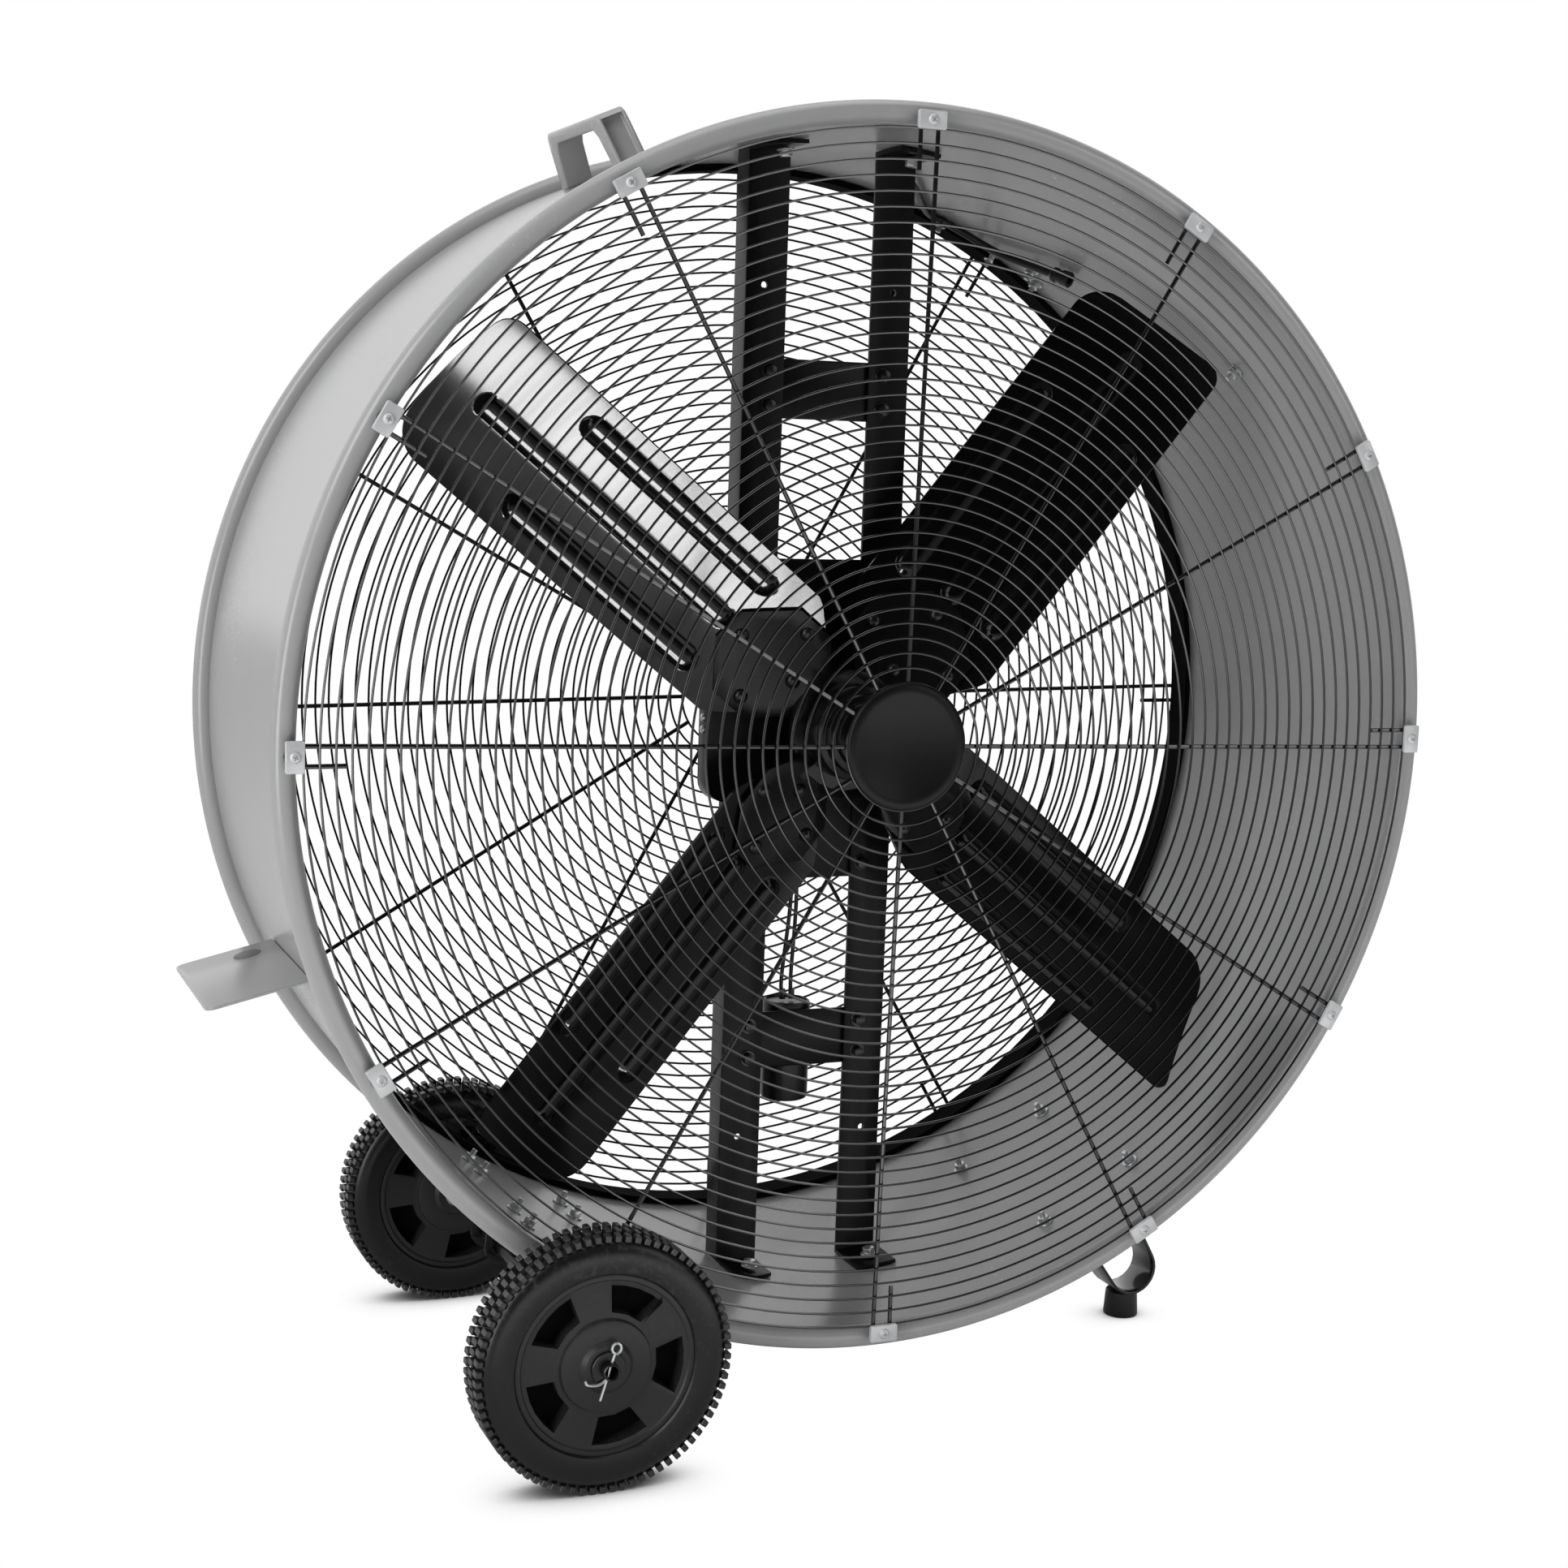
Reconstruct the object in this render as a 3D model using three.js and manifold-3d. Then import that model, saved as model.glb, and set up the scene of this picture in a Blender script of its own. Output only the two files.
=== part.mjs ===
// A drum fan: a rolled steel drum with a wire guard at each end, four wide blades on a
// direct-drive motor held by two vertical rails, two wheels on one axle and one rubber foot.
// Millimetres. +X is right seen from the front, +Y to the rear, +Z up, the floor is z = 0.

import * as THREE from 'three';
import { mergeVertices } from 'three/addons/utils/BufferGeometryUtils.js';
import Module from 'manifold-3d';

const wasm = await Module();
wasm.setup();

// ---------------------------------------------------------------- driving dimensions

const GAP = 0.3; // between pieces that touch
const RUN = 0.4; // between a turning piece and what it turns in

// drum
const DRUM_RADIUS = 575; // outside of the skin
const SKIN = 2;
const DRUM_DEPTH = 428; // between the centres of the two beads
const BEAD_RADIUS = 11; // of the rolled rim's own section
const BEAD_OFFSET = 4; // bead centre outside the skin
const DRUM_SIDES = 60;

// wire guards
const WIRE = 4.5;
const GUARD_RINGS = 6;
const SPOKES = 12;
const BADGE_RADIUS = 61;
const BADGE_THICKNESS = 4;
const CLIP = { width: 28, height: 16.5, thickness: 5, chamfer: 1, inset: 7 };

// rails, seen from the front as two tall webs
const RAIL_X = 68; // middle of a web
const RAIL_WIDTH = 43;
const RAIL_SHEET = 4;
const RAIL_FLANGE = 32;
const RAIL_FRONT = -11; // front face of the webs
const TAB_LENGTH = 58; // end tab along the drum's wall, in front of the web
const TAB_POINT = 12; // how much of it is the left rail's point
const CROSS_PLATE = { middle: 333, height: 59, thickness: 3 };
const MOUNT_PLATE = { height: 328, thickness: 4, hole: 24 };
const PAN = { width: 252, height: 156, depth: 27, sheet: 2, corner: 20, hole: 22 };

// motor
const MOTOR_RADIUS = 82;
const MOTOR_LENGTH = 90;
const MOTOR_WALL = 4;
const BELL_DEPTH = 32;
const STATOR = { bore: 46, start: 20, length: 55 };
const AIR_GAP = 0.8;
const SHAFT_RADIUS = 8;
const BEARING = { radius: 16, width: 11 };
const BEARING_SEAT = 6; // wall round a bearing

// fan wheel
const FAN_Y = -93; // middle plane of the blades
const BLADES = 4;
const FIRST_BLADE_ANGLE = 51;
const TIP_CLEARANCE = 43;
const CHORD = 165;
const PITCH = 26;
const CAMBER = 11;
const BLADE_SHEET = 2.5;
const BLADE_ROOT = { start: 64, halfWidth: 38, shoulder: 125 };
const TIP_CORNER = 34;
const PAD = { start: 50, widest: 86, chamfer: 127, end: 165, sheet: 3 };
const PAD_HALF_WIDTHS = { start: 27, widest: 60, end: 18 };
const SPIDER = { radius: 60, thickness: 10 };
const HUB = { radius: 48, length: 66, step: 10, nose: 26 };

// run capacitor, under the motor
const CAPACITOR = { x: -6, radius: 25, height: 105, below: 70, strap: 20, strapSheet: 1.2 };
const TWIN_LEAD = { width: 9, thickness: 4.5 };

// motor lead and its fittings on the drum's inner wall
const LEAD_RADIUS = 4;
const GLAND = { angle: 56.3, y: 84, radius: 9, length: 24 };
const LEAD_CLIP = { angle: 68, y: 172, width: 8, foot: 16, sheet: 1.5 };

// switch box on the drum's outside
const BOX = { angle: 53, width: 94, length: 100, depth: 52, sheet: 2, corner: 6, rear: 44 };
const KNOB = { radius: 16, height: 18, rise: 27 };

// grab handle on top
const HANDLE = { angle: 114, width: 29, base: 190, top: 165, height: 56, grip: 12, leg: 18 };

// tab on the left side
const BRACKET = { angle: 203, lean: 9.3, reach: 97, width: 188, sheet: 3, corner: 10, flange: 30 };

// wheels and their axle
const WHEEL_RADIUS = 121.4;
const TYRE_SIDES = 40;
const DISC_SIDES = 16;
const TYRE = { width: 48, crown: 34, bore: 85 };
const WHEEL_HUB = { radius: 22, boss: 41.5, length: 54, bossThickness: 31, web: 10, rim: 5 };
const WINDOWS = { count: 5, first: 66, inner: 48, outer: 74, span: 44, floor: 2 };
const BUSH_WALL = 5.5;
const WHEEL_SPACE = 6; // wheel to guard clip
const AXLE_RADIUS = 8;
const AXLE_ANGLE = -118.6; // round the drum
const AXLE_OFFSET = 51.3; // axle centre outside the skin
const AXLE_STUB = 39; // axle end outside the wheel's middle plane
const WASHER = { radius: 16, thickness: 2.5 };
const COTTER = { radius: 2, loop: 5.5, length: 30 };
const HANGER = { y: 86, width: 72, span: 15, sheet: 4, foot: 42, nose: 19 };

// front foot
const FOOT = { radius: 16.5, height: 28, y: -18, reach: 104 };
const SADDLE = { angle: -59.6, span: 14.4, width: 236, sheet: 3 };
const FOOT_STRAP = { width: 45, sheet: 3, bend: 27.5, left: -60.7, right: -53.5 };

// ---------------------------------------------------------------- what follows from them

const rad = THREE.MathUtils.degToRad;
const DRUM_INSIDE = DRUM_RADIUS - SKIN;
const WALL_SEAT = DRUM_INSIDE * Math.cos(Math.PI / DRUM_SIDES) - GAP; // inner wall, at its flats
const BEAD_CENTRE = DRUM_RADIUS + BEAD_OFFSET;
const RIM_FACE = DRUM_DEPTH / 2 + BEAD_RADIUS;
const GUARD_FACE = RIM_FACE + GAP + WIRE; // outer face of either guard
const CLIP_FACE = GUARD_FACE + GAP + CLIP.thickness;

const AXLE_HEIGHT = WHEEL_RADIUS * Math.cos(Math.PI / TYRE_SIDES); // a tyre stands on a flat
const AXLE_RADIAL = DRUM_RADIUS + AXLE_OFFSET;
const AXLE_X = AXLE_RADIAL * Math.cos(rad(AXLE_ANGLE));
const AXIS_HEIGHT = AXLE_HEIGHT - AXLE_RADIAL * Math.sin(rad(AXLE_ANGLE));
const WHEEL_Y = CLIP_FACE + WHEEL_SPACE + TYRE.width / 2;

const WEB_REAR = RAIL_FRONT + RAIL_SHEET;
const FLANGE_X = RAIL_X + RAIL_WIDTH / 2; // outside of the flanges
const PLATE_FRONT = WEB_REAR + GAP;
const PLATE_HALF_WIDTH = FLANGE_X - RAIL_SHEET - GAP;
const MOTOR_FRONT = PLATE_FRONT + MOUNT_PLATE.thickness + GAP;
const MOTOR_REAR = MOTOR_FRONT + MOTOR_LENGTH;
const BEARING_POCKET = BEARING.radius + GAP;

const TIP_RADIUS = DRUM_INSIDE - TIP_CLEARANCE;
const PAD_OFFSET = BLADE_SHEET / 2 + 2 * GAP + PAD.sheet / 2; // pad in front of the blade, middle to middle
const SPIDER_Y = FAN_Y + (CAMBER / 2 - PAD_OFFSET) * Math.cos(rad(PITCH)); // through the pads' middle
const HUB_BACK = SPIDER_Y - SPIDER.thickness / 2 - GAP;
const HUB_FRONT = HUB_BACK - HUB.length;

const FOOT_X = DRUM_RADIUS * Math.cos(rad(SADDLE.angle)) + FOOT.reach;

// ---------------------------------------------------------------- materials

function finish(color, roughness, metalness) {
  return new THREE.MeshStandardMaterial({ color, roughness, metalness });
}

const drumPaint = finish(0xa9adb0, 0.35, 0.3);
const blackPaint = finish(0x1c1d1f, 0.4, 0.2);
const bladePaint = finish(0x0e0f11, 0.2, 0.2);
const railPaint = finish(0x24262a, 0.5, 0.2);
const frontWire = finish(0x8e9296, 0.35, 0.6);
const rearWire = finish(0x17181a, 0.45, 0.3);
const zinc = finish(0xb4b6b8, 0.35, 0.8);
const steel = finish(0x9a9c9e, 0.3, 0.9);
const rubber = finish(0x1f1f20, 0.85, 0);
const wheelPlastic = finish(0x26272a, 0.6, 0);
const blackPlastic = finish(0x151517, 0.5, 0);
const cableJacket = finish(0x101012, 0.6, 0);
const canMetal = finish(0xc4c6c8, 0.3, 0.7);

// ---------------------------------------------------------------- shape helpers

function vec(x, y) {
  return new THREE.Vector2(x, y);
}

// A closed solid for joining and cutting: shared corners merged, slivers at the poles dropped.
function solid(geometry) {
  const bare = geometry.clone();
  bare.deleteAttribute('normal');
  bare.deleteAttribute('uv');
  const merged = mergeVertices(bare, 1e-4);
  const corners = merged.index.array;
  const kept = [];
  for (let i = 0; i < corners.length; i += 3) {
    const [a, b, c] = corners.slice(i, i + 3);
    if (a !== b && b !== c && c !== a) kept.push(a, b, c);
  }
  return new wasm.Manifold(new wasm.Mesh({
    numProp: 3,
    vertProperties: merged.attributes.position.array,
    triVerts: new Uint32Array(kept),
  }));
}

function surface(manifold) {
  const { vertProperties, triVerts } = manifold.getMesh();
  const geometry = new THREE.BufferGeometry();
  geometry.setAttribute('position', new THREE.BufferAttribute(vertProperties, 3));
  geometry.setIndex(new THREE.BufferAttribute(triVerts, 1));
  geometry.computeVertexNormals();
  return geometry;
}

function join(...pieces) {
  return surface(pieces.map(solid).reduce((whole, piece) => whole.add(piece)));
}

function cut(piece, ...tools) {
  return surface(tools.map(solid).reduce((rest, tool) => rest.subtract(tool), solid(piece)));
}

// A turned piece about the Y axis. Its outline runs outwards along the front, then to the rear.
function turned(outline, sides, start = 0) {
  return new THREE.LatheGeometry(outline.map(([r, y]) => vec(r, y)), sides, start);
}

// A ring about the Y axis, closed on itself.
function ring(inner, outer, front, rear, sides, start = 0) {
  const outline = [[inner, front], [outer, front], [outer, rear], [inner, rear], [inner, front]];
  return turned(outline, sides, start);
}

// A bore that stays a clearance away from a round of this radius, at its flats too.
function bore(radius, clearance, sides) {
  return (radius + clearance) / Math.cos(Math.PI / sides);
}

function extruded(shape, depth, curveSegments = 6) {
  return new THREE.ExtrudeGeometry(shape, { depth, bevelEnabled: false, curveSegments });
}

// A shape drawn in X and Z, between two values of Y.
function slab(shape, front, rear, curveSegments) {
  return extruded(shape, rear - front, curveSegments).rotateX(Math.PI / 2).translate(0, rear, 0);
}

// A shape drawn in Y and Z, between two values of X.
function sideSlab(shape, left, right, curveSegments) {
  const turn = new THREE.Matrix4().makeBasis(
    new THREE.Vector3(0, 1, 0), new THREE.Vector3(0, 0, 1), new THREE.Vector3(1, 0, 0));
  return extruded(shape, right - left, curveSegments).applyMatrix4(turn).translate(left, 0, 0);
}

function polygon(points) {
  return new THREE.Shape(points.map(([x, y]) => vec(x, y)));
}

function roundedRectangle(width, height, radius) {
  const x = width / 2;
  const y = height / 2;
  const shape = new THREE.Shape();
  shape.absarc(x - radius, y - radius, radius, 0, Math.PI / 2);
  shape.absarc(radius - x, y - radius, radius, Math.PI / 2, Math.PI);
  shape.absarc(radius - x, radius - y, radius, Math.PI, 1.5 * Math.PI);
  shape.absarc(x - radius, radius - y, radius, 1.5 * Math.PI, 2 * Math.PI);
  return shape;
}

function chamferedRectangle(width, height, chamfer) {
  const x = width / 2;
  const y = height / 2;
  return polygon([
    [x, chamfer - y], [x, y - chamfer], [x - chamfer, y], [chamfer - x, y],
    [-x, y - chamfer], [-x, chamfer - y], [chamfer - x, -y], [x - chamfer, -y],
  ]);
}

// Part of a ring round the drum's axis, angles in degrees from +X towards +Z.
function sector(inner, outer, from, to) {
  const shape = new THREE.Shape();
  shape.absarc(0, 0, outer, rad(from), rad(to), false);
  shape.absarc(0, 0, inner, rad(to), rad(from), true);
  return shape;
}

// The edge-on outline of a sheet bent along a path.
function bentSheet(path, thickness) {
  const normal = (from, to) => vec(from.y - to.y, to.x - from.x).normalize();
  const offset = (side) => path.map((point, i) => {
    const first = normal(path[Math.max(i - 1, 0)], path[Math.max(i, 1)]);
    const last = path.length - 1;
    const second = normal(path[Math.min(i, last - 1)], path[Math.min(i + 1, last)]);
    const mitre = first.clone().add(second).normalize();
    return point.clone().addScaledVector(mitre, (side * thickness) / 2 / mitre.dot(first));
  });
  return new THREE.Shape([...offset(1), ...offset(-1).reverse()]);
}

// A solid tube or strip along a smooth curve through points.
function swept(section, points, steps) {
  const extrudePath = new THREE.CatmullRomCurve3(points, false, 'centripetal');
  return new THREE.ExtrudeGeometry(section, { steps, extrudePath, curveSegments: 1 });
}

function roundSection(radius, sides) {
  return polygon(Array.from({ length: sides }, (_, i) => {
    const a = (2 * Math.PI * i) / sides;
    return [radius * Math.cos(a), radius * Math.sin(a)];
  }));
}

function place(name, geometry, material, parent) {
  const mesh = new THREE.Mesh(geometry, material);
  mesh.name = name;
  parent.add(mesh);
  return mesh;
}

// ---------------------------------------------------------------- the frame of the scene

const fan = new THREE.Group();
const aboutAxis = new THREE.Group(); // everything placed from the drum's axis
aboutAxis.position.z = AXIS_HEIGHT;
fan.add(aboutAxis);

// A place on the drum's wall: local X runs round the drum, Y along it, Z away from its axis.
function onDrum(angle) {
  const group = new THREE.Group();
  group.rotation.y = Math.PI / 2 - rad(angle);
  aboutAxis.add(group);
  return group;
}

// A point by its angle round the drum, its Y and its distance from the axis.
function polar(angle, y, radius) {
  return new THREE.Vector3(radius * Math.cos(rad(angle)), y, radius * Math.sin(rad(angle)));
}

// ---------------------------------------------------------------- drum and guards

function drumShell() {
  const bead = (degrees, end) => [
    BEAD_CENTRE + BEAD_RADIUS * Math.cos(rad(degrees)),
    end * (DRUM_DEPTH / 2) + BEAD_RADIUS * Math.sin(rad(degrees)),
  ];
  // where the skin's two faces run into the bead, as angles round the bead
  const meet = (offset) => THREE.MathUtils.radToDeg(Math.acos(-offset / BEAD_RADIUS));
  const outer = meet(BEAD_OFFSET);
  const inner = meet(BEAD_OFFSET + SKIN);
  const front = [inner, 180, 225, 270, 315, 360, 420].map((a) => bead(a, -1));
  const rear = [-60, 0, 45, 90, 135, 180].map((a) => bead(a, 1));
  const outline = [...front, bead(outer, -1), bead(-outer, 1), ...rear, bead(-inner, 1), front[0]];
  return turned(outline, DRUM_SIDES);
}

// Rings and spokes of flat-cut wire, on a regular polygon with two sides to each spoke.
function guard(front, rear) {
  const sides = 2 * SPOKES;
  const at = (radius, angle) => [radius * Math.cos(angle), radius * Math.sin(angle)];
  const rim = BEAD_CENTRE + GAP;
  const centreRing = BADGE_RADIUS + WIRE / 2;
  const pitch = (rim - centreRing) / GUARD_RINGS;
  const shape = polygon(Array.from({ length: sides }, (_, i) => at(rim, (2 * Math.PI * i) / sides)));
  const centre = Array.from({ length: sides }, (_, i) => at(centreRing - WIRE, (2 * Math.PI * i) / sides));
  shape.holes.push(polygon(centre));
  for (let r = 0; r < GUARD_RINGS; r += 1) {
    const inner = centreRing + r * pitch;
    const outer = inner + pitch - WIRE;
    for (let s = 0; s < SPOKES; s += 1) {
      const from = (2 * Math.PI * s) / SPOKES;
      const to = from + (2 * Math.PI) / SPOKES;
      const middle = (from + to) / 2;
      const half = (radius) => Math.asin(WIRE / 2 / radius);
      shape.holes.push(polygon([
        at(outer, from + half(outer)), at(outer, middle), at(outer, to - half(outer)),
        at(inner, to - half(inner)), at(inner, middle), at(inner, from + half(inner)),
      ]));
    }
  }
  return slab(shape, front, rear);
}

function addDrum() {
  place('drum', drumShell(), drumPaint, aboutAxis);
  place('front_guard', guard(-GUARD_FACE, -RIM_FACE - GAP), frontWire, aboutAxis);
  place('rear_guard', guard(RIM_FACE + GAP, GUARD_FACE), rearWire, aboutAxis);
  const badgeBack = -GUARD_FACE - GAP;
  const badge = turned([
    [0, badgeBack - BADGE_THICKNESS], [BADGE_RADIUS - 2, badgeBack - BADGE_THICKNESS],
    [BADGE_RADIUS, badgeBack], [0, badgeBack],
  ], 36);
  place('centre_badge', badge, blackPlastic, aboutAxis);
  const clip = chamferedRectangle(CLIP.width, CLIP.height, CLIP.chamfer);
  for (let i = 0; i < SPOKES; i += 1) {
    const spot = onDrum((360 / SPOKES) * i);
    const plate = slab(clip, -CLIP_FACE, -GUARD_FACE - GAP).translate(0, 0, BEAD_CENTRE - CLIP.inset);
    place(`guard_clip_${i + 1}`, plate, zinc, spot);
  }
}

// ---------------------------------------------------------------- rails and plates

// One folded rail: a web, a flange along its outer edge, and a tab at each end on the wall.
function rail(side, pointed) {
  const inner = RAIL_X - RAIL_WIDTH / 2;
  const reach = (x) => Math.sqrt(WALL_SEAT ** 2 - x ** 2);
  const web = slab(polygon([
    [side * inner, -reach(inner)], [side * FLANGE_X, -reach(FLANGE_X)],
    [side * FLANGE_X, reach(FLANGE_X)], [side * inner, reach(inner)],
  ]), RAIL_FRONT, WEB_REAR);
  const flange = new THREE.BoxGeometry(RAIL_SHEET, RAIL_FLANGE, 2 * reach(FLANGE_X));
  flange.translate(side * (FLANGE_X - RAIL_SHEET / 2), RAIL_FRONT + RAIL_FLANGE / 2, 0);
  const half = RAIL_WIDTH / 2;
  const tip = RAIL_FRONT - TAB_LENGTH;
  const shoulder = pointed ? tip + TAB_POINT : tip;
  const tab = polygon([[-half, WEB_REAR], [-half, shoulder], [0, tip], [half, shoulder], [half, WEB_REAR]]);
  const seat = reach(half); // the tab is flat on a curved wall
  const angle = THREE.MathUtils.radToDeg(Math.acos((side * RAIL_X) / seat));
  const tabs = [angle, -angle].map((at) => extruded(tab, RAIL_SHEET)
    .translate(0, 0, seat - RAIL_SHEET).rotateY(Math.PI / 2 - rad(at)));
  return join(web, flange, ...tabs);
}

// An open tray: walls round a shape, closed by a sheet at its front.
function tray(width, height, depth, sheet, corner, hole) {
  const sheetShape = roundedRectangle(width, height, corner);
  if (hole) sheetShape.holes.push(new THREE.Path().absarc(0, 0, hole, 0, 2 * Math.PI));
  const walls = roundedRectangle(width, height, corner);
  walls.holes.push(roundedRectangle(width - 2 * sheet, height - 2 * sheet, corner - sheet));
  return join(slab(sheetShape, 0, sheet, 3), slab(walls, 0, depth, 3));
}

function addRails() {
  place('rail_left', rail(-1, true), railPaint, aboutAxis);
  place('rail_right', rail(1, false), railPaint, aboutAxis);
  const crossPlate = chamferedRectangle(2 * PLATE_HALF_WIDTH, CROSS_PLATE.height, 4);
  for (const [name, side] of [['upper_cross_plate', 1], ['lower_cross_plate', -1]]) {
    const plate = slab(crossPlate, PLATE_FRONT, PLATE_FRONT + CROSS_PLATE.thickness);
    place(name, plate.translate(0, 0, side * CROSS_PLATE.middle), railPaint, aboutAxis);
  }
  const mount = chamferedRectangle(2 * PLATE_HALF_WIDTH, MOUNT_PLATE.height, 8);
  mount.holes.push(new THREE.Path().absarc(0, 0, MOUNT_PLATE.hole, 0, 2 * Math.PI));
  const mountPlate = slab(mount, PLATE_FRONT, PLATE_FRONT + MOUNT_PLATE.thickness);
  place('motor_mount_plate', mountPlate, railPaint, aboutAxis);
  const pan = tray(PAN.width, PAN.height, PAN.depth, PAN.sheet, PAN.corner, PAN.hole);
  place('motor_pan', pan.translate(0, RAIL_FRONT - GAP - PAN.depth, 0), blackPaint, aboutAxis);
}

// ---------------------------------------------------------------- motor

function addMotor() {
  const pocketFront = MOTOR_FRONT + MOTOR_WALL;
  const pocketRear = pocketFront + BEARING.width;
  const stator = MOTOR_FRONT + STATOR.start;
  const inside = MOTOR_RADIUS - MOTOR_WALL;
  const seatRadius = BEARING_POCKET + BEARING_SEAT;
  const throat = SHAFT_RADIUS + 2; // the shaft's way out of the shell
  const shell = turned([
    [throat, MOTOR_FRONT], [MOTOR_RADIUS, MOTOR_FRONT], [MOTOR_RADIUS, MOTOR_REAR], [inside, MOTOR_REAR],
    [inside, stator + STATOR.length], [STATOR.bore, stator + STATOR.length], [STATOR.bore, stator],
    [inside, stator], [inside, pocketFront], [seatRadius, pocketFront], [seatRadius, pocketRear],
    [BEARING_POCKET, pocketRear], [BEARING_POCKET, pocketFront], [throat, pocketFront],
    [throat, MOTOR_FRONT],
  ], 24);
  place('motor_body', shell, blackPaint, aboutAxis);

  const bellFront = MOTOR_REAR + GAP;
  const bellRear = bellFront + BELL_DEPTH;
  const floor = bellRear - MOTOR_WALL;
  const pocket = floor - BEARING.width - 2 * GAP;
  const bell = turned([
    [0, floor], [BEARING_POCKET, floor], [BEARING_POCKET, pocket], [seatRadius, pocket],
    [seatRadius, floor], [inside * 0.7, floor], [inside - 3, bellFront + MOTOR_WALL], [inside, bellFront],
    [MOTOR_RADIUS, bellFront], [MOTOR_RADIUS - 2, bellFront + BELL_DEPTH / 2],
    [MOTOR_RADIUS * 0.75, bellRear], [0, bellRear],
  ], 24);
  place('motor_rear_bell', bell, blackPaint, aboutAxis);

  const shaftRear = floor - GAP;
  const shaftFront = HUB_FRONT - 5;
  const shaft = turned([
    [0, shaftFront], [SHAFT_RADIUS, shaftFront], [SHAFT_RADIUS, shaftRear], [0, shaftRear],
  ], 16);
  place('motor_shaft', shaft, steel, aboutAxis);
  const rotorBore = bore(SHAFT_RADIUS, GAP, 16);
  const rotor = ring(rotorBore, STATOR.bore - AIR_GAP, stator + 2, stator + STATOR.length - 2, 24);
  place('motor_rotor', rotor, steel, aboutAxis);
  const race = bore(SHAFT_RADIUS, RUN, 16);
  const racePlaces = [['front_bearing', pocketFront + GAP], ['rear_bearing', pocket + GAP]];
  for (const [name, front] of racePlaces) {
    const bearing = ring(race, BEARING.radius, front, front + BEARING.width - GAP, 16);
    place(name, bearing, steel, aboutAxis);
  }
}

// ---------------------------------------------------------------- fan wheel

// A cambered sheet. Each station is a distance from the axis and the half width there.
function camberedSheet(stations, thickness, offset, columns = 6) {
  const pitch = rad(PITCH);
  const corner = (radius, across, side) => {
    const bow = ((across * Math.cos(pitch)) ** 2 / (2 * TIP_RADIUS)) * (radius / TIP_RADIUS) ** 2;
    const lift = CAMBER * (0.5 - (2 * across / CHORD) ** 2) + offset + (side * thickness) / 2;
    const y = across * Math.sin(pitch) + lift * Math.cos(pitch);
    const z = across * Math.cos(pitch) - lift * Math.sin(pitch);
    return [radius - bow, y, z];
  };
  const positions = [];
  for (const side of [-1, 1]) {
    for (const [radius, half] of stations) {
      for (let c = 0; c <= columns; c += 1) {
        positions.push(...corner(radius, half * ((2 * c) / columns - 1), side));
      }
    }
  }
  const row = columns + 1;
  const layer = stations.length * row;
  const faces = [];
  const quad = (a, b, c, d) => faces.push(a, b, c, a, c, d);
  for (let s = 0; s < stations.length - 1; s += 1) {
    for (let c = 0; c < columns; c += 1) {
      const at = s * row + c;
      quad(at, at + row, at + row + 1, at + 1);
      quad(layer + at, layer + at + 1, layer + at + row + 1, layer + at + row);
    }
    const left = s * row;
    const right = left + columns;
    quad(left, layer + left, layer + left + row, left + row);
    quad(right, right + row, layer + right + row, layer + right);
  }
  const end = layer - row;
  for (let c = 0; c < columns; c += 1) {
    quad(c, c + 1, layer + c + 1, layer + c);
    quad(end + c, layer + end + c, layer + end + c + 1, end + c + 1);
  }
  const geometry = new THREE.BufferGeometry();
  geometry.setAttribute('position', new THREE.Float32BufferAttribute(positions, 3));
  geometry.setIndex(faces);
  geometry.computeVertexNormals();
  return geometry;
}

// A station half way along each span, so that sheets of different outlines still nest.
function withMiddles(stations) {
  return stations.flatMap(([radius, half], i) => {
    if (i === 0) return [[radius, half]];
    const [before, halfBefore] = stations[i - 1];
    return [[(before + radius) / 2, (halfBefore + half) / 2], [radius, half]];
  });
}

function blade() {
  const half = CHORD / 2;
  const stations = withMiddles([
    [BLADE_ROOT.start, BLADE_ROOT.halfWidth], [BLADE_ROOT.shoulder - 10, half - 5],
    [BLADE_ROOT.shoulder, half],
  ]);
  stations.push([(BLADE_ROOT.shoulder + TIP_RADIUS) / 2, half]);
  for (let i = 0; i <= 4; i += 1) {
    const turn = (Math.PI / 2) * (i / 4);
    stations.push([
      TIP_RADIUS - TIP_CORNER * (1 - Math.sin(turn)),
      half - TIP_CORNER * (1 - Math.cos(turn)),
    ]);
  }
  return camberedSheet(stations, BLADE_SHEET, 0);
}

function bladeSpider() {
  const pad = camberedSheet(withMiddles([
    [PAD.start, PAD_HALF_WIDTHS.start], [PAD.widest, PAD_HALF_WIDTHS.widest],
    [PAD.chamfer, PAD_HALF_WIDTHS.widest], [PAD.end, PAD_HALF_WIDTHS.end],
  ]), PAD.sheet, -PAD_OFFSET, 6);
  const half = SPIDER.thickness / 2;
  const centre = ring(bore(SHAFT_RADIUS, GAP, 16), SPIDER.radius, SPIDER_Y - half, SPIDER_Y + half, 24);
  const pads = bladeAngles().map((angle) => pad.clone().translate(0, FAN_Y, 0).rotateY(-rad(angle)));
  return join(centre, ...pads);
}

function bladeAngles() {
  return Array.from({ length: BLADES }, (_, i) => FIRST_BLADE_ANGLE + (360 / BLADES) * i);
}

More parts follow.
